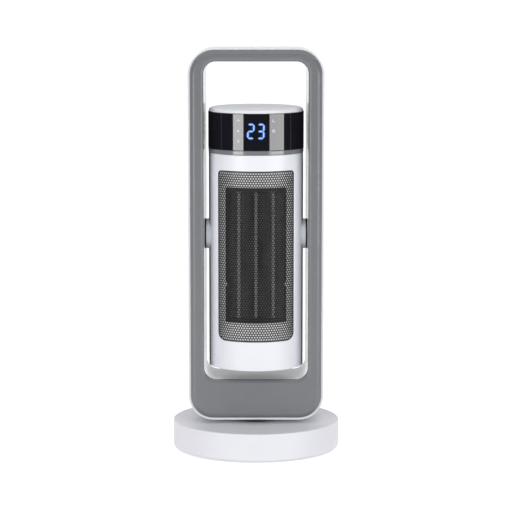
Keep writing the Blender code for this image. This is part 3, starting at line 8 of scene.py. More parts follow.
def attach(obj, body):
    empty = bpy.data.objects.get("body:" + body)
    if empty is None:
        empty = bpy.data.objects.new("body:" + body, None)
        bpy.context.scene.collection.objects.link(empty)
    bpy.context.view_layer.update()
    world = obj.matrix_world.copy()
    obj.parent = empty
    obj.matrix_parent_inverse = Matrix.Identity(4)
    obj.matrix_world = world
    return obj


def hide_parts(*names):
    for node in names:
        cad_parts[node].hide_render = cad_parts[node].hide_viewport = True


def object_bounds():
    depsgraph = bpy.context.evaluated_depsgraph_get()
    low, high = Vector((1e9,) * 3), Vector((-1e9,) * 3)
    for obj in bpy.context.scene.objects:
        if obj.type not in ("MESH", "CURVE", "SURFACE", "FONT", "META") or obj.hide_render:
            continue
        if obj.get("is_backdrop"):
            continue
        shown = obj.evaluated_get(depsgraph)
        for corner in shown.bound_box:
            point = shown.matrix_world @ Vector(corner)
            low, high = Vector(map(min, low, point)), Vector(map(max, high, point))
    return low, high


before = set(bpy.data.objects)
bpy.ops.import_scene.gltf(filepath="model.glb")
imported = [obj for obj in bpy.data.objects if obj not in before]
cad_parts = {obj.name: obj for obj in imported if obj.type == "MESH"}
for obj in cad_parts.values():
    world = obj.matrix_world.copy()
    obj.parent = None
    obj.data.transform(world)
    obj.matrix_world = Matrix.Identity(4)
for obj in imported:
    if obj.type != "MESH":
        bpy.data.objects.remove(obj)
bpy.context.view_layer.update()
scene = bpy.context.scene

# Shapes are drawn in millimetres; the end of the script turns every drawn mesh into metres.
mm = 0.001
drawn = []
fullTurn = 2 * math.pi
roundSteps = 144    # faces round the tower
weldReach = 0.002    # points this close become one
sliceReach = 0.0001    # points this close to a slice lie on it
sharpAngle = math.radians(35)    # edges above it stay sharp

# Camera: fitted to the rings of the tower and the base in the photo.
camera = {"place": (0, -3.0441, 0.6709), "tilt": 82.41, "lens": 157.5}


def linear(hexColour):
    # sRGB hex to linear red, green, blue and a full alpha
    parts = [int(hexColour[i:i + 2], 16) / 255 for i in (1, 3, 5)]
    return (*[p / 12.92 if p <= 0.04045 else ((p + 0.055) / 1.055) ** 2.4 for p in parts], 1)


def feed(tree, node, inputs):
    for key, value in inputs.items():
        if isinstance(value, bpy.types.NodeSocket):
            tree.links.new(value, node.inputs[key])
        else:
            node.inputs[key].default_value = value


def addNode(tree, kind, settings=None, inputs=None):
    node = tree.nodes.new(kind)
    for key, value in (settings or {}).items():
        setattr(node, key, value)
    feed(tree, node, inputs or {})
    return node


def makeMaterial(name, recipe):
    made = bpy.data.materials.new(name)
    made.use_nodes = True
    tree = made.node_tree
    shader = tree.nodes["Principled BSDF"]
    place = addNode(tree, "ShaderNodeTexCoord").outputs["Object"]
    blotch = addNode(tree, "ShaderNodeTexNoise", {}, {
        "Vector": place, "Scale": 1 / (recipe["blotch"] * mm), "Detail": 4.0, "Roughness": 0.6,
    })
    colour = addNode(tree, "ShaderNodeMix", {"data_type": "RGBA"}, {
        0: blotch.outputs[0], 6: linear(recipe["colour"]), 7: linear(recipe["shade"]),
    }).outputs[2]
    shine = addNode(tree, "ShaderNodeMapRange", {}, {
        "Value": blotch.outputs[0], "From Min": 0.3, "From Max": 0.7,
        "To Min": recipe["roughness"] - recipe["spread"], "To Max": recipe["roughness"] + recipe["spread"],
    }).outputs[0]
    grain = addNode(tree, "ShaderNodeTexNoise", {}, {
        "Vector": place, "Scale": 1 / (recipe["grain"] * mm), "Detail": 2.0, "Roughness": 0.5,
    }).outputs[0]
    if recipe.get("dust"):
        # fine dust and rubbed spots lift the colour a little
        spots = addNode(tree, "ShaderNodeMapRange", {}, {
            "Value": grain, "From Min": 0.45, "From Max": 0.8, "To Min": 0.0, "To Max": recipe["dust"],
        }).outputs[0]
        colour = addNode(tree, "ShaderNodeMix", {"data_type": "RGBA"}, {
            0: spots, 6: colour, 7: linear(recipe["dustColour"]),
        }).outputs[2]
    bump = addNode(tree, "ShaderNodeBump", {}, {
        "Height": grain, "Strength": recipe["bump"], "Distance": recipe["depth"] * mm,
    }).outputs[0]
    feed(tree, shader, {
        "Base Color": colour, "Roughness": shine, "Normal": bump, "Metallic": recipe.get("metallic", 0.0),
    })
    if recipe["ior"]:
        feed(tree, shader, {"IOR": recipe["ior"]})
    if "glow" in recipe:
        feed(tree, shader, {
            "Emission Color": linear(recipe["glow"]), "Emission Strength": recipe["glowStrength"],
        })
    return made


# In millimetres: blotch is the slow drift in tone and gloss, grain the moulding texture, depth its relief.
recipeFields = ("colour", "shade", "roughness", "spread", "ior", "blotch", "grain", "bump", "depth")
recipes = {
    # injection-moulded ABS, semi-gloss tool finish: soft wide highlights, faint orange peel
    "whiteAbsSemiGloss": ("#e9ebf0", "#e4e6ec", 0.38, 0.04, 1.53, 30, 0.9, 0.1, 0.05),
    # the same ABS from a polished tool: clear reflections at a low angle
    "whiteAbsGloss": ("#ebecf0", "#e6e7ec", 0.2, 0.03, 1.53, 30, 0.9, 0.05, 0.04),
    # the same ABS from a spark-eroded tool: satin, no clear reflections
    "whiteAbsSatin": ("#e6e6ec", "#e0e0e7", 0.42, 0.05, 1.53, 35, 0.7, 0.16, 0.06),
    # painted ABS bezel, silver-grey satin lacquer with fine flake
    "greySatinPaint": ("#77797d", "#717377", 0.4, 0.04, 1.5, 25, 0.35, 0.02, 0.02),
    # textured ABS, mid grey: rear of the tower
    "greyTexturedAbs": ("#85878b", "#7b7d81", 0.5, 0.05, 1.53, 30, 0.55, 0.25, 0.08),
    # smoked acrylic, polished: near black with mirror-sharp reflections
    "smokedAcrylic": ("#1a1a21", "#16161c", 0.05, 0.02, 1.49, 60, 6.0, 0.02, 0.02),
    # ABS ring, silver-grey gloss lacquer
    "silverGlossLacquer": ("#7b7c81", "#75767b", 0.14, 0.03, 1.45, 20, 0.4, 0.02, 0.01),
    # steel sheet, punched, black powder coat
    "blackPowderCoat": ("#0d0d11", "#09090c", 0.55, 0.06, 1.5, 12, 0.3, 0.3, 0.03),
    # corrugated aluminium fins, darkened by heat
    "heatStainedAluminium": ("#a29990", "#7c736c", 0.5, 0.08, None, 9, 0.5, 0.2, 0.03),
    # rolled aluminium electrode strip
    "rolledAluminium": ("#c3c0bd", "#a9a6a3", 0.36, 0.06, None, 8, 0.3, 0.1, 0.02),
    # barium titanate stone under alumina paper: dull warm white
    "firedCeramic": ("#cfc9c3", "#b8b1aa", 0.75, 0.05, 1.6, 5, 0.25, 0.3, 0.04),
    # glass-filled phenolic frame
    "blackPhenolic": ("#17161a", "#111013", 0.55, 0.06, 1.55, 10, 0.4, 0.25, 0.05),
    # glossy white polypropylene duct plate
    "whitePolypropylene": ("#eeeef0", "#e7e7ea", 0.35, 0.05, 1.49, 20, 0.8, 0.1, 0.05),
    # black polypropylene, moulded
    "blackPolypropylene": ("#1b1b1d", "#141416", 0.5, 0.07, 1.49, 15, 0.5, 0.2, 0.06),
    # natural nylon 66
    "naturalNylon": ("#d8d2c2", "#cbc4b2", 0.45, 0.05, 1.53, 12, 0.6, 0.15, 0.05),
    # soft thermoplastic rubber: dull, slightly dusty
    "blackSoftRubber": ("#1e1e1f", "#171718", 0.82, 0.06, 1.52, 6, 0.4, 0.3, 0.05),
    # zinc-plated steel, bright
    "zincPlatedSteel": ("#b9babb", "#9fa0a3", 0.33, 0.08, None, 4, 0.25, 0.12, 0.02),
    # glass-epoxy board under green solder mask
    "greenSolderMask": ("#1d5a34", "#17492a", 0.35, 0.06, 1.5, 6, 0.5, 0.15, 0.04),
    # blue-white light-emitting segment behind the band
    "litSegment": ("#20406e", "#1c3a66", 0.4, 0.03, 1.49, 3, 0.6, 0.05, 0.01),
    # light spilt round a segment inside the acrylic
    "segmentHalo": ("#0a1030", "#080d28", 0.3, 0.03, 1.49, 3, 0.6, 0.05, 0.01),
    # the same light farther out in the acrylic
    "segmentHaloFar": ("#08091c", "#070818", 0.2, 0.03, 1.49, 3, 0.6, 0.05, 0.01),
    # paler light of the small icons
    "litIcon": ("#3a3c60", "#343658", 0.4, 0.03, 1.49, 3, 0.6, 0.05, 0.01),
}
recipeExtras = {
    "greySatinPaint": {"metallic": 0.15, "dust": 0.06, "dustColour": "#a4a6aa"},
    "heatStainedAluminium": {"metallic": 0.5},
    "rolledAluminium": {"metallic": 1.0},
    "blackPolypropylene": {"dust": 0.05, "dustColour": "#55555a"},
    "blackSoftRubber": {"dust": 0.12, "dustColour": "#6a6a68"},
    "zincPlatedSteel": {"metallic": 1.0},
    "litSegment": {"glow": "#a2d2ff", "glowStrength": 1.0},
    "segmentHalo": {"glow": "#1c45b8", "glowStrength": 0.9},
    "segmentHaloFar": {"glow": "#101f66", "glowStrength": 0.9},
    "litIcon": {"glow": "#dfe2ff", "glowStrength": 1.0},
}
materials = {
    name: makeMaterial(name, {**dict(zip(recipeFields, row)), **recipeExtras.get(name, {})})
    for name, row in recipes.items()
}
print("materials ready:", len(materials))


# Hidden and small CAD nodes keep their own shape and get a real finish.
nodeFinish = {
    "zincPlatedSteel": (
        "base_weight tip_spring swing_motor hub_retainer pivot_nut_left pivot_nut_right thermal_cutout "
        "blower_motor blower_bearing blower_shaft trunnion_nut_left trunnion_nut_right"
    ),
    "blackPolypropylene": "tip_switch_body swivel_hub blower_scroll electronics_deck blower_wheel",
    "naturalNylon": "tip_plunger swing_pinion swing_gear pivot_bush_left pivot_bush_right icon_light_guide",
    "blackSoftRubber": "base_wiring frame_wiring tower_wiring",
    "greyTexturedAbs": "thrust_ring",
    "greenSolderMask": "control_board display_module",
}
for finishName, nodeNames in nodeFinish.items():
    for nodeName in nodeNames.split():
        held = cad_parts[nodeName].data.materials
        held.clear()
        held.append(materials[finishName])


def loose(name, bm):
    # a bare object with the shape of the bmesh
    mesh = bpy.data.meshes.new(name)
    bm.to_mesh(mesh)
    bm.free()
    obj = bpy.data.objects.new(name, mesh)
    scene.collection.objects.link(obj)
    return obj


def faceOut(bm):
    bmesh.ops.recalc_face_normals(bm, faces=bm.faces)


def finishPiece(name, bm, material, body, stands=(), clean=False, weigh=True):
    # the bmesh becomes a piece that rides on a body
    if clean:
        bmesh.ops.remove_doubles(bm, verts=bm.verts, dist=weldReach)
        bmesh.ops.dissolve_degenerate(bm, edges=bm.edges, dist=weldReach / 2)
        faceOut(bm)
    obj = loose(name, bm)
    obj.data.shade_smooth()
    obj.data.set_sharp_from_angle(angle=sharpAngle)
    obj.data.materials.append(materials[material])
    if weigh:
        obj.modifiers.new("Flat faces stay flat", "WEIGHTED_NORMAL").keep_sharp = True
    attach(obj, body)
    if stands:
        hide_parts(*stands)
    drawn.append(obj)
    return obj


def newVerts(made):
    # the vertices that an extrusion has made
    return [g for g in made["geom"] if isinstance(g, bmesh.types.BMVert)]


def pull(bm, made, way):
    # moves what an extrusion has made
    bmesh.ops.translate(bm, vec=way, verts=newVerts(made))


def thicken(bm, wall):
    # a flat sheet gets a second face at its back, and walls round its edges
    faceOut(bm)
    pull(bm, bmesh.ops.extrude_face_region(bm, geom=bm.faces[:], use_keep_orig=True), (0, wall, 0))


def mergeInto(bm, part, place):
    # adds a second bmesh, set by a matrix
    mesh = bpy.data.meshes.new("part")
    part.to_mesh(mesh)
    part.free()
    mesh.transform(place)
    bm.from_mesh(mesh)
    bpy.data.meshes.remove(mesh)


def polar(radius, degrees, height):
    # a place on a circle round Z
    angle = math.radians(degrees)
    return Matrix.Translation((radius * math.cos(angle), radius * math.sin(angle), height))


def easeInto(bm, geom, offset, segments, affect="EDGES"):
    return bmesh.ops.bevel(
        bm, geom=geom, offset=offset, segments=segments, profile=0.5, affect=affect, material=-1
    )["verts"]


def turnInto(bm, profile, steps=roundSteps, closed=False):
    # (radius, height, fillet) points, outer side from the top down, spun round Z; its edges are eased
    verts = [bm.verts.new((radius, 0, height)) for radius, height, fillet in profile]
    edges = [bm.edges.new(pair) for pair in zip(verts, verts[1:])]
    if closed:
        edges.append(bm.edges.new((verts[-1], verts[0])))
    bmesh.ops.spin(
        bm, geom=verts + edges, cent=(0, 0, 0), axis=(0, 0, 1), angle=fullTurn, steps=steps, use_merge=True
    )
    bmesh.ops.remove_doubles(bm, verts=bm.verts, dist=weldReach)
    for radius, height, fillet in profile:
        if not fillet:
            continue
        rim = [
            e for e in bm.edges
            if all(abs(math.hypot(v.co.x, v.co.y) - radius) < 2 * weldReach for v in e.verts)
            and all(abs(v.co.z - height) < 2 * weldReach for v in e.verts)
        ]
        easeInto(bm, rim, fillet, max(3, min(10, round(fillet * 2.5))))
    faceOut(bm)


def turned(name, profile, material, body, stands=(), closed=False, steps=roundSteps, place=None):
    bm = bmesh.new()
    turnInto(bm, profile, steps, closed)
    if place:
        bmesh.ops.transform(bm, matrix=place, verts=bm.verts)
    finishPiece(name, bm, material, body, stands, clean=True)


def hoop(inner, outer, low, high, *fillets):
    # closed profile of a ring; the fillets run from its inner top edge round to its inner low edge
    corners = ((inner, high), (outer, high), (outer, low), (inner, low))
    return [(*corner, fillet) for corner, fillet in zip(corners, fillets or (0, 0, 0, 0))]


def blockInto(bm, low, high, ease=0.0, segments=2):
    # a box between two corners, edges eased
    made = bmesh.ops.create_cube(bm, size=1)["verts"]
    size = [b - a for a, b in zip(low, high)]
    middle = [(a + b) / 2 for a, b in zip(low, high)]
    bmesh.ops.scale(bm, vec=size, verts=made)
    bmesh.ops.translate(bm, vec=middle, verts=made)
    if ease:
        easeInto(bm, list({e for v in made for e in v.link_edges}), ease, segments)


def sliceAt(bm, point, normal, reach=0.0, drop=False):
    geom = bm.verts[:] + bm.edges[:] + bm.faces[:]
    bmesh.ops.bisect_plane(bm, geom=geom, dist=reach, plane_co=point, plane_no=normal, clear_outer=drop)


def dropBehind(bm, y):
    # takes off what lies behind y and closes the cut
    sliceAt(bm, (0, y, 0), (0, 1, 0), drop=True)
    bmesh.ops.holes_fill(bm, edges=bm.edges)
    faceOut(bm)


def outline(half, low, high, lowRadius, highRadius, depth, steps, across=0, up=0):
    # points of a rounded upright rectangle: each corner is one point spun round its centre
    corners = [
        ((half - lowRadius, low + lowRadius), (half - lowRadius, low)),
        ((half - highRadius, high - highRadius), (half, high - highRadius)),
        ((highRadius - half, high - highRadius), (highRadius - half, high)),
        ((lowRadius - half, low + lowRadius), (-half, low + lowRadius)),
    ]
    runs = []
    for (cx, cz), (sx, sz) in corners:
        bm = bmesh.new()
        first = bm.verts.new((sx, depth, sz))
        bmesh.ops.spin(
            bm, geom=[first], cent=(cx, depth, cz), axis=(0, -1, 0), angle=math.pi / 2, steps=steps
        )
        runs.append([v.co.copy() for v in bm.verts])
        bm.free()
    points = []
    for index, run in enumerate(runs):
        after = runs[(index + 1) % 4][0]
        cuts = across if index % 2 else up
        points += run + [run[-1].lerp(after, (k + 1) / (cuts + 1)) for k in range(cuts)]
    return points


def loftInto(bm, outlines):
    # extrudes each outline onto the next and the last onto the first; returns the edges across each band
    here = [bm.verts.new(point) for point in outlines[0]]
    edges = [bm.edges.new(pair) for pair in zip(here, here[1:] + here[:1])]
    crossings = []
    for target in outlines[1:] + outlines[:1]:
        fresh = set(newVerts(bmesh.ops.extrude_edge_only(bm, edges=edges)))
        crossing = [[e for e in v.link_edges if e.other_vert(v) in fresh][0] for v in here]
        here = [e.other_vert(v) for v, e in zip(here, crossing)]
        for v, point in zip(here, target):
            v.co = point
        edges = [bm.edges.get(pair) for pair in zip(here, here[1:] + here[:1])]
        crossings.append(crossing)
    return crossings


def cutAway(obj, bm):
    # cuts a mesh object with a bmesh, ahead of its other modifiers
    cutter = loose("cutter", bm)
    others = obj.modifiers[:]
    step = obj.modifiers.new("Cut", "BOOLEAN")
    step.operation, step.solver, step.object = "DIFFERENCE", "EXACT", cutter
    obj.modifiers.move(len(others), 0)
    for other in others:
        other.show_viewport = False
    graph = bpy.context.evaluated_depsgraph_get()
    bpy.context.view_layer.update()
    mesh = bpy.data.meshes.new_from_object(obj.evaluated_get(graph))
    obj.modifiers.remove(obj.modifiers[0])
    for other in obj.modifiers:
        other.show_viewport = True
    old, obj.data = obj.data, mesh
    mesh.name = old.name
    bpy.data.meshes.remove(old)
    mesh.set_sharp_from_angle(angle=sharpAngle)
    bpy.data.objects.remove(cutter)


# Base: a plain round disc with a pocket behind for the switch and the cord gland
base = {
    "profile": [(0, 40, 0), (114, 40, 2), (114, 2, 4), (0, 2, 0)], "steps": 192,
    "pocket": ((-40, 104, 8), (40, 123, 34)), "pocketEase": 2.5,
    "hollow": [(0, 37, 0), (111, 37, 0), (111, 10, 0), (107.5, 6, 0), (107.5, -6, 0), (0, -6, 0)],
    "hollowBack": 101, "bore": [(0, 50, 0), (15.6, 50, 0), (15.6, 20, 0), (0, 20, 0)],
}
bm = bmesh.new()
turnInto(bm, base["profile"], base["steps"])
baseCover = finishPiece("baseCover", bm, "whiteAbsSatin", "base", ["base_cover"], True)
pocket, hollow, bore = bmesh.new(), bmesh.new(), bmesh.new()
blockInto(pocket, *base["pocket"], base["pocketEase"], 4)
turnInto(hollow, base["hollow"], 96)
dropBehind(hollow, base["hollowBack"])
turnInto(bore, base["bore"], 48)
for cutter in (pocket, hollow, bore):
    cutAway(baseCover, cutter)

plate = {
    "profile": [
        (0, 5.5, 0), (107.2, 5.5, 0), (107.2, 2.5, 0.4), (80, 2.5, 0.3), (79, 3.5, 0.3), (66, 3.5, 0.3),
        (65, 2.5, 0.3), (0, 2.5, 0),
    ],
    "back": 100.7,
}
bm = bmesh.new()
turnInto(bm, plate["profile"])
dropBehind(bm, plate["back"])
finishPiece("basePlate", bm, "blackPolypropylene", "base", ["base_plate"], True)

# Feet: one soft ring with five pads
feet = {
    "circle": 95, "angles": (30, 150, 210, 270, 330), "ring": hoop(92, 98, 1.2, 2.2, 0, 0, 0.3, 0.3),
    "pad": [(0, 2.2, 0), (7, 2.2, 0), (7, 0, 0.6), (5, 0, 0.2), (4.6, 0.5, 0.2), (0, 0.5, 0)],
}
bm = bmesh.new()
turnInto(bm, feet["ring"], 96, True)
for angle in feet["angles"]:
    pad = bmesh.new()
    turnInto(pad, feet["pad"], 40)
    mergeInto(bm, pad, polar(feet["circle"], angle, 0))
finishPiece("footRing", bm, "blackSoftRubber", "base", ["foot_ring"])

# Screws: pan head with a cross recess
screws = {"head": 2.8, "shank": 1.3, "length": 10, "slot": 0.55, "slotWidth": 0.12, "slotFloor": 0.25}
down = Matrix.Rotation(math.pi, 4, "X")
backward = Matrix.Rotation(-math.pi / 2, 4, "X")


def screwInto(bm, height, length, place):
    # place is a matrix that sets a screw whose head looks along +Z on its seat
    radius, shank = screws["head"], screws["shank"]
    one = bmesh.new()
    turnInto(one, [
        (0, height, 0), (radius * 0.8, height, 0.3), (radius, height * 0.45, 0.2), (radius, 0, 0),
        (shank, 0, 0), (shank, -length, 0.3), (0, -length, 0),
    ], 28)
    body = loose("screw", one)
    arm, slim = radius * screws["slot"], radius * screws["slotWidth"]
    for x, y in ((arm, slim), (slim, arm)):
        cross = bmesh.new()
        blockInto(cross, (-x, -y, height * screws["slotFloor"]), (x, y, height + 1))
        cutAway(body, cross)
    spent = body.data
    spent.transform(place)
    bm.from_mesh(spent)
    bpy.data.objects.remove(body)
    bpy.data.meshes.remove(spent)


def screwRing(name, body, circle, angles, seat, height):
    # screws round Z, looking down
    bm = bmesh.new()
    for angle in angles:
        screwInto(bm, height, screws["length"], polar(circle, angle, seat) @ down)
    finishPiece(name, bm, "zincPlatedSteel", body, ())


screwRing("basePlateScrews", "base", circle=72, angles=(60, 120, 240, 300), seat=3.4, height=1.12)

# Mains switch and gland in the pocket; each block is half width, half height, near, far, ease and its steps
port = {
    "x": 28, "z": 21, "back": 104, "bezel": (8.1, 11.4, 104.1, 106.3, 0.8, 3),
    "body": (6.5, 9.8, 81, 104.6, 0.4, 2), "well": (5.0, 8.9, 97.4, 113, 0, 1),
    "gland": [
        (3.6, 106.3, 0.3), (9, 106.3, 0.9), (9, 104.3, 0), (6, 104.3, 0), (6, 100.7, 0), (9, 100.7, 0),
        (9, 98.7, 0), (3.6, 98.7, 0),
    ],
}


def portBlock(bm, half, high, near, far, ease, segments):
    x, z = port["x"], port["z"]
    blockInto(bm, (x - half, near, z - high), (x + half, far, z + high), ease, segments)


bm, well = bmesh.new(), bmesh.new()
portBlock(bm, *port["bezel"])
portBlock(bm, *port["body"])
portBlock(well, *port["well"])
bezel = finishPiece(
    "mainsSwitchBezel", bm, "blackPolypropylene", "base", ["mains_switch_body"]
)
cutAway(bezel, well)

# The rocker stands with its upper end pressed in.
rocker = {
    "half": 4.7, "rise": 4.5, "reach": 7.4, "root": -2.8, "foot": -6, "ease": 0.5, "lean": 8.0,
    "line": ((-0.35, 3.75, 3.2), (0.35, 4.16, 5.8)), "ring": hoop(0.9, 1.5, -0.2, 0.2),
    "ringPlace": (0, 3.98, -4.4), "ringLean": 96,
}
rise, reach, root = rocker["rise"], rocker["reach"], rocker["root"]
points = [
    (rise, reach), (rise * 0.86, reach / 2), (rise * 0.7, 0), (rise * 0.86, -reach / 2), (rise, -reach),
    (root, -reach * 0.7), (rocker["foot"], 0), (root, reach * 0.7),
]
bm = bmesh.new()
side = bm.faces.new([bm.verts.new((-rocker["half"], y, z)) for y, z in points])
pull(bm, bmesh.ops.extrude_face_region(bm, geom=[side]), (2 * rocker["half"], 0, 0))
easeInto(bm, bm.edges[:], rocker["ease"], 3)
lean = Matrix.Rotation(math.radians(rocker["lean"]), 4, "X")
rockerPlace = Matrix.Translation((port["x"], port["back"], port["z"])) @ lean
bmesh.ops.transform(bm, matrix=rockerPlace, verts=bm.verts)
finishPiece(
    "mainsSwitchRocker", bm, "blackPolypropylene", "switch_rocker", ["mains_switch_rocker"],
    True,
)

# The usual line for on and ring for off, filled with white paint
bm, off = bmesh.new(), bmesh.new()
blockInto(bm, *rocker["line"])
turnInto(off, rocker["ring"], 32, True)
lean = Matrix.Rotation(math.radians(rocker["ringLean"]), 4, "X")
mergeInto(bm, off, Matrix.Translation(rocker["ringPlace"]) @ lean)
bmesh.ops.transform(bm, matrix=rockerPlace, verts=bm.verts)
finishPiece("rockerMarks", bm, "whiteAbsSatin", "switch_rocker", ())

turned(
    "cordGland", port["gland"], "blackSoftRubber", "base", ["cord_gland"], True, 64,
    Matrix.Translation((-port["x"], 0, port["z"])) @ backward,
)
print("base done")


# Ring frame: two white shells and a grey trim, lofted from loops run round the opening.
frameSizes = {
    "half": 92, "bottom": 44, "top": 550, "lowRadius": 34, "highRadius": 36,
    "openHalf": 70.6, "openFloor": 101.6, "openTop": 533.1, "openRadius": 16.5, "draft": 2.5,
    "front": -45, "back": 45, "split": 24, "gap": 0.15, "seam": 0.35, "wall": 2.4, "lip": 3.3, "rise": 1.8,
    "lipFront": -37, "innerFront": -41.2, "web": -34, "turn": 7, "innerRound": 4.6,
    "lipRound": 1.3, "lipEase": 0.3, "trimEdge": 3.5, "trimRun": 6.9, "trimFall": 5.2, "trimWall": 2.2,
    "trimDrop": 3.5, "trimBevel": 3.6, "trimGap": 0.3,
}


def outerLoop(inset, depth):
    # in front of the split the lip narrows at the top by this rise
    f = frameSizes
    rise = f["rise"] * min(1, inset / f["lip"]) if depth < f["split"] else 0
    return outline(
        f["half"] - inset, f["bottom"] + inset, f["top"] - inset + rise, f["lowRadius"] - inset,
        f["highRadius"] - inset, depth, 20,
    )


def innerLoop(inset, depth):
    f = frameSizes
    drafted = f["openHalf"] - f["draft"] * (depth - f["front"]) / (f["back"] - f["front"])
    return outline(
        drafted + inset, f["openFloor"] - inset, f["openTop"] + inset, f["openRadius"] + inset,
        f["openRadius"] + inset, depth, 20,
    )


def ringPiece(name, section, material, stands):
    # the section is a row of loops, each with its (inset, depth) points
    bm = bmesh.new()
    loftInto(bm, [loop(inset, depth) for loop, points in section for inset, depth in points])
    return finishPiece(name, bm, material, "frame", stands, True)


def quarter(start, end, steps, swap=False):
    # points of a quarter ellipse between two (inset, depth) corners, leaving along the depth first
    made = []
    for step in range(steps + 1):
        angle = math.pi / 2 * step / steps
        a, b = 1 - math.cos(angle), math.sin(angle)
        if swap:
            a, b = b, a
        made.append((start[0] + (end[0] - start[0]) * a, start[1] + (end[1] - start[1]) * b))
    return made


wall, seam, web, lip = [frameSizes[key] for key in ("wall", "seam", "web", "lip")]
lipFront, innerFront = frameSizes["lipFront"], frameSizes["innerFront"]
lipRound, ease = frameSizes["lipRound"], frameSizes["lipEase"]
frontEnd = frameSizes["split"] - frameSizes["gap"]
ringPiece("frameFrontShell", [
    (outerLoop, [
        *quarter((0, lipFront + lipRound), (lipRound, lipFront), 4),
        *quarter((lip - ease, lipFront), (lip, lipFront + ease), 2, True), (lip, web),
    ]),
    (innerLoop, [
        (wall, web), (wall, innerFront), (ease, innerFront), (0, innerFront + ease), (0, frontEnd - seam),
        (seam, frontEnd), (wall, frontEnd), (wall, web + wall),
    ]),
    (outerLoop, [(wall, web + wall), (wall, frontEnd), (seam, frontEnd), (0, frontEnd - seam)]),
], "whiteAbsGloss", ["frame_front_shell"])

rearStart = frameSizes["split"] + frameSizes["gap"]
back, turn = frameSizes["back"], frameSizes["turn"]
turnDepth = back - turn
roundEnd = turnDepth + frameSizes["innerRound"]
rearShell = ringPiece("frameRearShell", [
    (outerLoop, [(seam, rearStart), (0, rearStart + seam), *quarter((0, turnDepth), (turn, back), 8)]),
    (innerLoop, [
        *quarter((turn, back), (0, turnDepth), 8, True), (0, rearStart + seam), (seam, rearStart),
        (wall, rearStart), *quarter((wall, turnDepth), (turn, roundEnd), 4),
    ]),
    (outerLoop, [*quarter((turn, roundEnd), (wall, turnDepth), 4, True), (wall, rearStart)]),
], "whiteAbsGloss", ["frame_rear_shell"])

edge, thick, fall, drop = [frameSizes[key] for key in ("trimEdge", "trimWall", "trimFall", "trimDrop")]
crest, ridge = frameSizes["front"], edge + frameSizes["trimRun"]
trimBack, bevel = web - frameSizes["trimGap"], frameSizes["trimBevel"]
ringPiece("frameTrim", [
    (outerLoop, [(edge, trimBack), *quarter((edge, lipFront), (ridge, crest), 10)]),
    (innerLoop, [
        *quarter((fall, crest), (0, crest + drop), 8, True), (thick, crest + drop), (fall, crest + thick),
    ]),
    (outerLoop, [
        (ridge, crest + thick), (edge + bevel, crest + bevel), (edge + thick, lipFront),
        (edge + thick, trimBack),
    ]),
], "greySatinPaint", ["frame_trim"])

# Four screws sunk in bosses in the back of the frame
frameScrews = {
    "places": ((60, 75), (45, 541.95)), "seat": 41.5, "height": 1.4, "length": 29,
    "well": 3.3, "wellMiddle": 51.2, "wellDepth": 20,
    "boss": [(1.5, 41.2, 0), (3.3, 41.2, 0), (3.3, 44.9, 0), (4.4, 44.4, 0), (4.4, 25, 0), (1.5, 25, 0)],
}
bm, wells, bosses = bmesh.new(), bmesh.new(), bmesh.new()
for x, z in frameScrews["places"]:
    for sign in (-1, 1):
        place = Matrix.Translation((sign * x, 0, z)) @ backward
        seat, middle = [
            place @ Matrix.Translation((0, 0, frameScrews[key])) for key in ("seat", "wellMiddle")
        ]
        screwInto(bm, frameScrews["height"], frameScrews["length"], seat)
        bmesh.ops.create_cone(
            wells, cap_ends=True, segments=40, radius1=frameScrews["well"], radius2=frameScrews["well"],
            depth=frameScrews["wellDepth"], matrix=middle,
        )
        boss = bmesh.new()
        turnInto(boss, frameScrews["boss"], 40, True)
        mergeInto(bosses, boss, place)
finishPiece(
    "frameScrews", bm, "zincPlatedSteel", "frame",
    ["frame_screw_" + level + "_" + side for level in ("low", "high") for side in ("left", "right")],
)
cutAway(rearShell, wells)
finishPiece("screwBosses", bosses, "whiteAbsSemiGloss", "frame", ())

turned(
    "neckCollar", hoop(15.3, 40, 41.8, 43.7, 0, 0.4, 0.4, 0), "blackPolypropylene", "frame", ["neck_collar"],
    True, 96,
)
print("frame done")


# Pivots: an ear with a soft washer on each side
pivot = {
    "z": 296.8, "bore": 5, "ear": 20.5, "wide": 23.7, "root": 55, "flare": 57, "waist": 64.5, "face": 67.8,
    "washer": hoop(9.1, 20.4, 68.0, 69.7, 0, 0.2, 0.2, 0), "tube": hoop(5, 8.8, 66, 82.5, 0.3, 0.4, 0, 0),
}
for sideName, sign in (("left", -1), ("right", 1)):
    place = Matrix.Translation((0, 0, pivot["z"])) @ Matrix.Rotation(sign * math.pi / 2, 4, "Y")
    flare = quarter((pivot["ear"], pivot["waist"]), (pivot["wide"], pivot["flare"]), 8)
    turned("ear" + sideName.title(), [
        (pivot["bore"], pivot["face"], 0), (pivot["ear"], pivot["face"], 0.9),
        *[(*point, 0) for point in flare],
        (pivot["wide"], pivot["root"], 0), (pivot["bore"], pivot["root"], 0),
    ], "whiteAbsSemiGloss", "tower", ["trunnion_" + sideName], True, 96, place)
    turned(
        "washer" + sideName.title(), pivot["washer"], "blackSoftRubber", "frame",
        ["friction_washer_" + sideName], True, 72, place,
    )
    turned("pivotTube" + sideName.title(), pivot["tube"], "whiteAbsSemiGloss", "tower", (), True, 48, place)
print("pivots done")


# Tower shells are flat plates bent round the axis: in the plate, y is the depth below the outer face.
tower = {
    "radius": 64.3, "wall": 2.4, "bottom": 116.5, "top": 408.8, "seam": 74.5, "gap": 0.1, "corner": 0.5,
    "window": {"half": 51.8, "low": 155.9, "high": 387.3, "lowRadius": 10, "highRadius": 5},
    "intake": {"half": 44, "low": 172, "high": 372, "lowRadius": 6, "highRadius": 6},
}
windowHole, intakeHole = tower["window"], tower["intake"]
plateCuts = (10, 30, 24)    # points in a corner, then cuts across and up


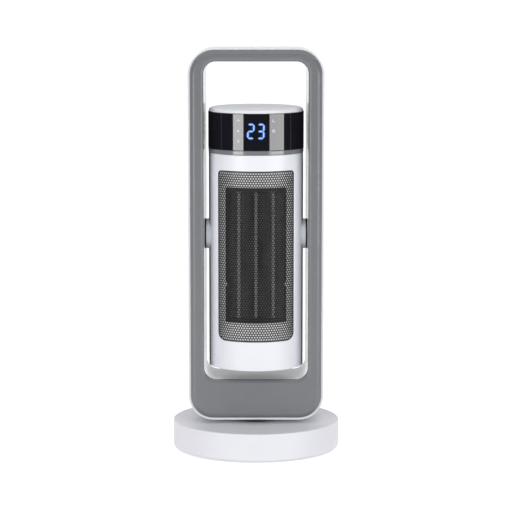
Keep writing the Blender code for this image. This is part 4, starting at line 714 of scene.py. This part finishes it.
def bend(bm, radius, middle=0.0):
    # wraps the plate round Z; its middle looks forward, or backward where middle is 180
    for v in bm.verts:
        angle = v.co.x / radius + math.radians(middle)
        reach = radius - v.co.y
        v.co = Vector((reach * math.sin(angle), -reach * math.cos(angle), v.co.z))


def holeOutline(hole, grow, lowRadius, highRadius, depth, cuts):
    return outline(
        hole["half"] + grow, hole["low"] - grow, hole["high"] + grow, lowRadius, highRadius, depth, *cuts
    )


def holeLine(hole, grow, depth, radius):
    # an opening as seen from the front, moved to where it lies on the plate
    points = holeOutline(hole, grow, hole["lowRadius"] + grow, hole["highRadius"] + grow, depth, plateCuts)
    return [Vector((radius * math.asin(p.x / radius), p.y, p.z)) for p in points]


def roundedPlate(name, halfAngle, hole, ease, holeEase, middle, material, stands):
    # a bent plate with a rounded hole, both edges eased
    radius, wall, corner = tower["radius"], tower["wall"], tower["corner"]
    halfArc = radius * math.radians(halfAngle) - tower["gap"]

    def rim(inset, depth):
        low, high = tower["bottom"] + inset, tower["top"] - inset
        return outline(halfArc - inset, low, high, corner, corner, depth, *plateCuts)

    outside = [rim(i, d) for i, d in quarter((0, ease), (ease, 0), 3)]
    inside = [holeLine(hole, g, d, radius) for g, d in quarter((holeEase, 0), (0, holeEase), 4, True)]
    loops = outside + inside + [holeLine(hole, 0, wall, radius), rim(0, wall)]
    bm = bmesh.new()
    crossings = loftInto(bm, loops)
    for wide in (crossings[len(outside) - 1], crossings[len(loops) - 2]):
        bmesh.ops.subdivide_edges(bm, edges=wide, cuts=7, use_grid_fill=True)
    bend(bm, radius, middle)
    finishPiece(name, bm, material, "tower", stands, True)


roundedPlate(
    "frontHousing", tower["seam"], windowHole, 0.5, 0.7, 0, "whiteAbsSemiGloss", ["front_housing"],
)
roundedPlate(
    "rearHousing", 180 - tower["seam"], intakeHole, 0.4, 0.5, 180, "greyTexturedAbs", ["rear_housing"],
)
print("housings done")


def cellSheet(name, sheet, hole, cells, roundness, material, stands):
    # cells of a flat sheet are punched, the sheet is thickened and bent, and a plain border closes its edge
    bm = bmesh.new()
    cells(bm)
    faces = bm.faces[:]
    bmesh.ops.inset_individual(bm, faces=faces, thickness=sheet["inset"], use_even_offset=True)
    for face in faces:
        roundness(face)
    bmesh.ops.delete(bm, geom=faces, context="FACES_ONLY")
    thicken(bm, sheet["wall"])
    # the border starts this far inside the hole and stands this proud of both faces
    outer, proud = -0.3, 0.1
    inner, near, far = -sheet["rim"], -proud, sheet["wall"] + proud
    border = ((outer, near), (inner, near), (inner, far), (outer, far))
    loftInto(bm, [holeLine(hole, grow, depth, sheet["radius"]) for grow, depth in border])
    bend(bm, sheet["radius"], sheet["middle"])
    faceOut(bm)
    finishPiece(name, bm, material, "tower", stands, weigh=False)


# Outlet: steel sheet punched with round holes in a triangular pattern
outlet = {
    "radius": 63.2, "wall": 0.4, "middle": 0, "rim": 1.6, "inset": 0.4, "pitch": 3.6, "hole": 1.25,
    "margin": 1.0,
}
forward = Matrix.Rotation(math.pi / 2, 4, "X")
cellWeld = 0.05


def discInto(bm, x, z, radius, segments=24):
    made = bmesh.ops.create_circle(bm, cap_ends=True, segments=segments, radius=radius)["verts"]
    bmesh.ops.transform(bm, matrix=Matrix.Translation((x, 0, z)) @ forward, verts=made)
    return made


def insideHole(hole, x, z, margin, radius):
    # true where a cell's middle lies in the opening, less a margin
    across = abs(radius * math.sin(x / radius))
    half, low, high = hole["half"] - margin, hole["low"] + margin, hole["high"] - margin
    if across > half or not low < z < high:
        return False
    lower = z < (low + high) / 2
    corner = max((hole["lowRadius"] if lower else hole["highRadius"]) - margin, 0)
    dx = across - (half - corner)
    dz = (low + corner) - z if lower else z - (high - corner)
    return dx <= 0 or dz <= 0 or math.hypot(dx, dz) <= corner


def punchedCells(bm):
    pitch, radius = outlet["pitch"], outlet["radius"]
    row = pitch * math.sqrt(3) / 2
    low, high = windowHole["low"], windowHole["high"]
    rows = int((high - low) / row / 2) + 1
    columns = int(math.asin(windowHole["half"] / radius) * radius / pitch) + 1
    for j in range(-rows, rows + 1):
        for i in range(-columns, columns + 1):
            x = (i + (j % 2) / 2) * pitch
            z = (high + low) / 2 + j * row
            if insideHole(windowHole, x, z, outlet["margin"], radius):
                discInto(bm, x, z, pitch / math.sqrt(3), 6)
    bmesh.ops.remove_doubles(bm, verts=bm.verts, dist=cellWeld)
    bmesh.ops.subdivide_edges(bm, edges=bm.edges[:], cuts=1)


def roundHole(face):
    centre = face.calc_center_median()
    for v in face.verts:
        v.co = centre + (v.co - centre).normalized() * outlet["hole"]


cellSheet(
    "outletSheet", outlet, windowHole, punchedCells, roundHole, "blackPowderCoat", ["outlet_grille"],
)

# Intake: rounded slots in three columns
intake = {
    "radius": 63.8, "wall": 2.0, "middle": 180, "rim": 3.2, "inset": 1.1, "columns": 3, "columnPitch": 27.5,
    "rowPitch": 5.0, "margin": 6, "ends": 0.35,
}


def slotCells(bm):
    width, row = intake["columnPitch"], intake["rowPitch"]
    rows = int((intakeHole["high"] - intakeHole["low"] - intake["margin"]) / row)
    middle = (intakeHole["high"] + intakeHole["low"]) / 2
    for j in range(rows):
        for i in range(intake["columns"]):
            x = (i - (intake["columns"] - 1) / 2) * width
            z = middle + (j - (rows - 1) / 2) * row
            made = bmesh.ops.create_grid(bm, x_segments=1, y_segments=1, size=0.5)["verts"]
            bmesh.ops.scale(bm, vec=(width, row, 1), verts=made)
            bmesh.ops.transform(bm, matrix=Matrix.Translation((x, 0, z)) @ forward, verts=made)
    bmesh.ops.remove_doubles(bm, verts=bm.verts, dist=cellWeld)
    level = [e for e in bm.edges if abs(e.verts[0].co.z - e.verts[1].co.z) < 0.01]
    bmesh.ops.subdivide_edges(bm, edges=level, cuts=6)


def roundSlot(face):
    # the two ends of a slot are drawn in to a half round
    centre = face.calc_center_median()
    far = max(abs(v.co.x - centre.x) for v in face.verts)
    for v in face.verts:
        if abs(v.co.x - centre.x) > far - 0.01:
            v.co.z = centre.z + (v.co.z - centre.z) * intake["ends"]


cellSheet(
    "intakeGrille", intake, intakeHole, slotCells, roundSlot, "greyTexturedAbs", ["intake_grille"],
)
print("grilles done")


# Baffle: a white plate close behind the sheet, open in front of the heater, with a tab at each side
baffle = {
    "outside": 62.6, "inside": 61.4, "rim": (-0.6, 9.4, 4.4), "corner": 2.5,
    "hole": {"half": 41.1, "low": 181.4, "high": 365.2},
    "tab": (40.2, -46.3, 232.6), "tabHalf": (1.4, 0.6, 2), "tabEase": 0.3,
}
plateHole = baffle["hole"]
heaterCuts = (8, 30, 4)


def bentLoop(hole, grow, lowRadius, highRadius, radius):
    # an upright outline on a round of this radius
    points = holeOutline(hole, grow, lowRadius, highRadius, 0, heaterCuts)
    for p in points:
        p.y = -math.sqrt(radius ** 2 - p.x ** 2)
    return points


def flatLoop(hole, grow, radius, depth):
    return holeOutline(hole, grow, radius, radius, depth, heaterCuts)


bm = bmesh.new()
loftInto(bm, [
    bentLoop(windowHole, *baffle["rim"], baffle["outside"]),
    bentLoop(plateHole, 0, baffle["corner"], baffle["corner"], baffle["outside"]),
    bentLoop(plateHole, 0, baffle["corner"], baffle["corner"], baffle["inside"]),
    bentLoop(windowHole, *baffle["rim"], baffle["inside"]),
])
for sign in (-1, 1):
    middle = (sign * baffle["tab"][0], *baffle["tab"][1:])
    low, high = [[m + way * half for m, half in zip(middle, baffle["tabHalf"])] for way in (-1, 1)]
    blockInto(bm, low, high, baffle["tabEase"])
finishPiece("outletBaffle", bm, "whitePolypropylene", "tower", ["outlet_baffle"])

# Heater: phenolic frame, three ceramic bars between aluminium strips, four columns of fins
carrier = {
    "mouth": 60.3, "flange": 59.6, "front": -42.8, "step": -41.5, "back": -26.6,
    "inner": (0.1, 2.6), "outer": (1.4, 3.9), "bore": (0.2, 0.6),
}
core = {"half": 37.2, "low": 185.0, "high": 358.9, "front": -42.5, "back": -28.5, "pitch": 23.3}
inner, outer, bore = carrier["inner"], carrier["outer"], carrier["bore"]
bm = bmesh.new()
loftInto(bm, [
    bentLoop(plateHole, *inner, inner[1], carrier["mouth"]), flatLoop(plateHole, *inner, carrier["front"]),
    flatLoop(core, *bore, carrier["front"]), flatLoop(core, *bore, carrier["back"]),
    flatLoop(plateHole, *outer, carrier["back"]), flatLoop(plateHole, *outer, carrier["step"]),
    bentLoop(plateHole, *outer, outer[1], carrier["flange"]),
])
finishPiece("heaterCarrier", bm, "blackPhenolic", "tower", ["heater_frame"])

bars = {
    "stones": 6, "half": 1.6, "gap": 0.6, "foot": 1.3, "strip": 1.9, "stripHalf": 0.3,
    "bus": (25, 1), "ease": 0.1, "stoneEase": 0.2,
}
strips, stones, foils = bmesh.new(), bmesh.new(), bmesh.new()
front, back, top = core["front"], core["back"], core["high"]
foot = core["low"] + bars["foot"]
stoneLength = (top - foot - bars["foot"]) / bars["stones"]
for column in (-1, 0, 1):
    middle = column * core["pitch"]
    for sign in (-1, 1):
        x, half = middle + sign * bars["strip"], bars["stripHalf"]
        blockInto(strips, (x - half, front - 0.1, foot), (x + half, back, top), bars["ease"], 1)
    for row in range(bars["stones"]):
        low, high = [foot + end * stoneLength for end in (row, row + 1)]
        half, gap = bars["half"], bars["gap"]
        blockInto(
            stones, (middle - half, front + 0.1, low + gap), (middle + half, back, high - gap),
            bars["stoneEase"], 1,
        )
busHalf, bus = bars["bus"]
blockInto(strips, (-busHalf, front, top - bus), (busHalf, back, top), bars["ease"], 1)
finishPiece("electrodeStrips", strips, "rolledAluminium", "tower", ["heater_bars"])
finishPiece("ceramicStones", stones, "firedCeramic", "tower", ())

fins = {"folds": 112, "thickness": 0.25, "gap": 2.3, "outerGap": 0.3, "inset": 0.6, "end": 1.4, "width": 13}
columns = [-core["half"], -core["pitch"], 0, core["pitch"], core["half"]]
foot = core["low"] + fins["end"]
step = (top - fins["end"] - foot) / fins["folds"]
for left, right in zip(columns, columns[1:]):
    first = left + (fins["gap"] if left > -core["half"] else fins["outerGap"])
    last = right - (fins["gap"] if right < core["half"] else fins["outerGap"])
    verts = [
        foils.verts.new((first if k % 2 else last, front + fins["inset"], foot + k * step))
        for k in range(fins["folds"] + 1)
    ]
    line = [foils.edges.new(pair) for pair in zip(verts, verts[1:])]
    pull(foils, bmesh.ops.extrude_edge_only(foils, edges=line), (0, fins["width"], 0))
faceOut(foils)
bmesh.ops.solidify(foils, geom=foils.faces[:], thickness=fins["thickness"])
finishPiece("finColumns", foils, "heatStainedAluminium", "tower", ["heater_fins"], weigh=False)
print("heater done")


# Ring, band and caps: turned
head = {
    "ring": hoop(60, 64.8, 409.1, 414.8, 0, 0.5, 0.5, 0),
    "band": hoop(62.8, 65, 415.1, 464.4, 0, 0.35, 0.35, 0),
    "cap": [
        (0, 470.5, 0), (58.5, 470.3, 0), (61.6, 469.5, 0), (63.4, 468.0, 0), (64.3, 465.9, 0),
        (64.5, 464.9, 0), (62.4, 464.9, 0), (62.4, 460, 0), (60.4, 460, 0), (60.4, 467.5, 0), (0, 467.9, 0),
    ],
    "foot": [
        (0, 119.8, 0), (61.6, 119.8, 0), (61.6, 116.8, 0.5), (50, 116.8, 0.3), (49.4, 117.4, 0.3),
        (20, 117.4, 0.3), (19.4, 116.8, 0.3), (0, 116.8, 0),
    ],
}
turned("silverRing", head["ring"], "silverGlossLacquer", "tower", ["silver_ring"], True)
turned("displayBand", head["band"], "smokedAcrylic", "tower", ["display_band"], True)
turned("topCap", head["cap"], "whiteAbsSemiGloss", "tower", ["top_cap"])
turned("bottomCap", head["foot"], "greyTexturedAbs", "tower", ["bottom_cap"])
screwRing("bottomCapScrews", "tower", circle=58, angles=(-21.5, -158.5, 40, 140), seat=117.2, height=1.0)
print("head done")


# Display: seven-segment digits and small icons, drawn flat and bent round the band
display = {
    "middle": 441.2, "height": 20.6, "width": 9.8, "stroke": 2.1, "slant": 1.5, "gap": 0.35, "tips": 0.12,
    "places": {-6.9: "abged", 6.5: "abgcd"}, "radius": 65, "reach": 28, "slice": 1.6,
}


def strokeInto(bm, start, end, width):
    # a bar with pointed ends from start to end, in the plate
    (x0, z0), (x1, z1) = start, end
    length = math.hypot(x1 - x0, z1 - z0)
    ux, uz = (x1 - x0) / length, (z1 - z0) / length
    half = width / 2
    far = length - half
    corners = [(0, 0), (half, half), (far, half), (length, 0), (far, -half), (half, -half)]
    verts = [bm.verts.new((x0 + ux * a - uz * b, 0, z0 + uz * a + ux * b)) for a, b in corners]
    bm.faces.new(verts)
    # the bevel stops a fixed length short of a corner, so the ends are eased in metres
    bmesh.ops.scale(bm, vec=[mm] * 3, verts=verts)
    verts = easeInto(bm, verts, width * display["tips"] * mm, 2, "VERTICES")
    bmesh.ops.scale(bm, vec=[1 / mm] * 3, verts=verts)


def segmentsInto(bm, grow):
    half, high = [(display[key] - display["stroke"]) / 2 for key in ("width", "height")]
    gap = display["gap"]
    ends = {
        "a": ((-half + gap, high), (half - gap, high)), "g": ((-half + gap, 0), (half - gap, 0)),
        "d": ((-half + gap, -high), (half - gap, -high)), "b": ((half, gap), (half, high - gap)),
        "c": ((half, -high + gap), (half, -gap)), "e": ((-half, -high + gap), (-half, -gap)),
    }
    for x, lit in display["places"].items():
        for letter in lit:
            strokeInto(bm, *[(x + px, pz) for px, pz in ends[letter]], display["stroke"] + grow)
    for v in bm.verts:
        v.co.x += v.co.z * math.tan(math.radians(display["slant"]))
        v.co.z += display["middle"]


def thinPiece(name, fill, material, depth, thickness):
    bm = bmesh.new()
    fill(bm)
    # cut into upright slices, so the flat shapes follow the round band
    for k in range(int(2 * display["reach"] / display["slice"]) + 1):
        sliceAt(bm, (k * display["slice"] - display["reach"], 0, 0), (1, 0, 0), sliceReach)
    thicken(bm, thickness)
    bmesh.ops.translate(bm, vec=(0, depth, 0), verts=bm.verts)
    bend(bm, display["radius"])
    faceOut(bm)
    finishPiece(name, bm, material, "tower", (), weigh=False)


thinPiece("displayGlow", lambda b: segmentsInto(b, 4.4), "segmentHaloFar", -0.02, 0.1)
thinPiece("displayHalo", lambda b: segmentsInto(b, 1.9), "segmentHalo", -0.04, 0.1)
thinPiece("displayDigits", lambda b: segmentsInto(b, -0.2), "litSegment", -0.06, 0.12)

icons = {
    "x": 24.2, "left": (455.6, 441.4, 427.9), "right": (455.4, 441.4), "size": 2.0, "hub": 0.35,
    "chevron": 0.8, "blade": 0.95, "ray": 0.6, "crescent": (0.55, 0.85, 1.05, 0.85, 0.55), "ring": 0.55,
    "hand": 0.45,
}


def around(x, z, radius, degrees):
    return x + radius * math.cos(math.radians(degrees)), z + radius * math.sin(math.radians(degrees))


def iconsInto(bm):
    x, size = icons["x"], icons["size"]
    heat, fan, comfort = icons["left"]
    night, timer = icons["right"]
    # heat level: a chevron
    for sign in (-1, 1):
        strokeInto(bm, (-x + sign * size, heat - size * 0.7), (-x, heat + size * 0.6), icons["chevron"])
    for quarterTurn in (0, 90, 180, 270):
        # fan: four blades; comfort: a disc with four short rays
        blade = quarterTurn + 45
        strokeInto(bm, *[around(-x, fan, reach, blade) for reach in (icons["hub"], size)], icons["blade"])
        near, far = [around(-x, comfort, size * reach, quarterTurn) for reach in (0.72, 1.15)]
        strokeInto(bm, near, far, icons["ray"])
    discInto(bm, -x, comfort, size * 0.55)
    # night: a crescent of short strokes
    for k, width in enumerate(icons["crescent"]):
        strokeInto(bm, *[around(x, night, size, 120 + 42 * (k + end)) for end in (0, 1)], width)
    # timer: a ring with two hands
    face = discInto(bm, x, timer, size)[0].link_faces[0]
    bmesh.ops.inset_individual(bm, faces=[face], thickness=icons["ring"], use_even_offset=True)
    bmesh.ops.delete(bm, geom=[face], context="FACES_ONLY")
    strokeInto(bm, (x, timer - 0.2), (x, timer + size * 0.65), icons["hand"])
    strokeInto(bm, (x - 0.1, timer), (x + size * 0.55, timer), icons["hand"])


thinPiece("displayIcons", iconsInto, "litIcon", -0.05, 0.1)
print("display done")


# Stage: pale floor, white background, two wide strips that show in the band, three soft lamps and fill
stage = {
    "floorSize": 60000, "floorTone": 0.88, "floorLift": 0.68, "fill": 0.44,
    # dark sheets that only mirror reflections see: painted dark reflections
    "darkSheetRadius": 2700, "darkSheetLow": 0, "darkSheetHigh": 2400, "darkSheetHalfAngle": 113, "darkSheetTone": "#201f26",
    "cardRadius": 67.6, "cardLow": 412.5, "cardHigh": 474, "cardStart": 49, "cardTurn": 75,
}
white = (1, 1, 1, 1)


def emptyTree(owner):
    owner.use_nodes = True
    owner.node_tree.nodes.clear()
    return owner.node_tree


def seenRays(tree):
    # 1 for camera, glossy and transmission rays, else 0
    rays = addNode(tree, "ShaderNodeLightPath").outputs
    seen = rays["Is Camera Ray"]
    for kind in ("Is Glossy Ray", "Is Transmission Ray"):
        seen = addNode(tree, "ShaderNodeMath", {"operation": "MAXIMUM"}, {0: seen, 1: rays[kind]}).outputs[0]
    return seen


bm = bmesh.new()
bmesh.ops.create_grid(bm, x_segments=1, y_segments=1, size=stage["floorSize"])
floor = loose("floor", bm)
floorMaterial = bpy.data.materials.new("paleFloor")
tree = emptyTree(floorMaterial)
paint = addNode(tree, "ShaderNodeBsdfDiffuse", {}, {"Color": (*[stage["floorTone"]] * 3, 1)})
level = addNode(tree, "ShaderNodeMath", {"operation": "MULTIPLY"}, {0: seenRays(tree), 1: stage["floorLift"]})
lift = addNode(tree, "ShaderNodeEmission", {}, {"Color": white, "Strength": level.outputs[0]})
both = addNode(tree, "ShaderNodeAddShader", {}, {0: paint.outputs[0], 1: lift.outputs[0]})
addNode(tree, "ShaderNodeOutputMaterial", {}, {"Surface": both.outputs[0]})
floor.data.materials.append(floorMaterial)
floor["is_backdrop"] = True


def screenInto(bm, radius, start, turn, low, high, steps):
    # an upright sheet bent round Z; angles from the camera's side
    first = math.radians(start)
    corner = bm.verts.new((radius * math.sin(first), -radius * math.cos(first), low))
    bmesh.ops.spin(
        bm, geom=[corner], cent=(0, 0, 0), axis=(0, 0, 1), angle=math.radians(turn), steps=steps
    )
    foot = [e for e in bm.edges if not e.link_faces]
    pull(bm, bmesh.ops.extrude_edge_only(bm, edges=foot), (0, 0, high - low))


# Dark sheets behind the strips and a card at each side of the smoked band: only mirror reflections see them,
# so they are painted dark reflections in the band
bm = bmesh.new()
screenInto(
    bm, stage["darkSheetRadius"], -stage["darkSheetHalfAngle"], 2 * stage["darkSheetHalfAngle"], stage["darkSheetLow"],
    stage["darkSheetHigh"], 48,
)
for side in (-1, 1):
    screenInto(
        bm, stage["cardRadius"], side * stage["cardStart"], side * stage["cardTurn"], stage["cardLow"],
        stage["cardHigh"], 24,
    )
darkReflectionSheets = loose("darkReflectionSheets", bm)
# a dark emission seen only in mirror reflections: a painted dark reflection
darkReflectionMaterial = bpy.data.materials.new("paintedDarkReflection")
tree = emptyTree(darkReflectionMaterial)
darkReflectionShader = addNode(tree, "ShaderNodeEmission", {}, {"Color": linear(stage["darkSheetTone"]), "Strength": 1.0})
addNode(tree, "ShaderNodeOutputMaterial", {}, {"Surface": darkReflectionShader.outputs[0]})
darkReflectionSheets.data.materials.append(darkReflectionMaterial)
darkReflectionSheets.visible_camera = darkReflectionSheets.visible_diffuse = darkReflectionSheets.visible_shadow = darkReflectionSheets.visible_transmission = False
darkReflectionSheets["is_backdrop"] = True

world = bpy.data.worlds.new("studio")
scene.world = world
tree = emptyTree(world)
level = addNode(tree, "ShaderNodeMapRange", {}, {
    "Value": seenRays(tree), "To Min": stage["fill"], "To Max": 1.0,
})
sky = addNode(tree, "ShaderNodeBackground", {}, {"Color": white, "Strength": level.outputs[0]})
addNode(tree, "ShaderNodeOutputWorld", {}, {"Surface": sky.outputs[0]})

# azimuth and elevation from the camera's side, distance, width, height and middle in metres, watts
softboxes = {
    "leftBox": (-43, 0, 2.0, 0.92, 0.28, 0.28, 9.4),
    "rightBox": (51, 0, 2.0, 1.35, 0.28, 0.28, 11.0),
    "leftKey": (-30, 12, 5.0, 2.0, 2.0, 0.30, 26),
    "rightKey": (30, 12, 5.0, 2.0, 2.0, 0.30, 19.5),
    "topBox": (0, 72, 5.0, 3.0, 3.0, 0.30, 55),
}
for name, (azimuth, elevation, distance, width, height, middle, power) in softboxes.items():
    data = bpy.data.lights.new(name, "AREA")
    data.shape, data.size, data.size_y, data.energy = "RECTANGLE", width, height, power
    lamp = bpy.data.objects.new(name, data)
    turn, rise = math.radians(azimuth), math.radians(elevation)
    flat = distance * math.cos(rise)
    lamp.location = (flat * math.sin(turn), -flat * math.cos(turn), middle + distance * math.sin(rise))
    lamp.rotation_euler = (math.pi / 2 - rise, 0, turn)
    lamp.visible_glossy = name in ("leftBox", "rightBox")    # only the two strips show in the band
    scene.collection.objects.link(lamp)

cameraData = bpy.data.cameras.new("camera")
cameraData.lens, cameraData.sensor_width = camera["lens"], 36
view = bpy.data.objects.new("camera", cameraData)
view.location = camera["place"]
view.rotation_euler = (math.radians(camera["tilt"]), 0, 0)
scene.collection.objects.link(view)
scene.camera = view
scene.view_settings.view_transform = "Standard"
print("stage done")

for piece in (*drawn, floor, darkReflectionSheets):
    piece.data.transform(Matrix.Scale(mm, 4))    # from millimetres to metres

low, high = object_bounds()
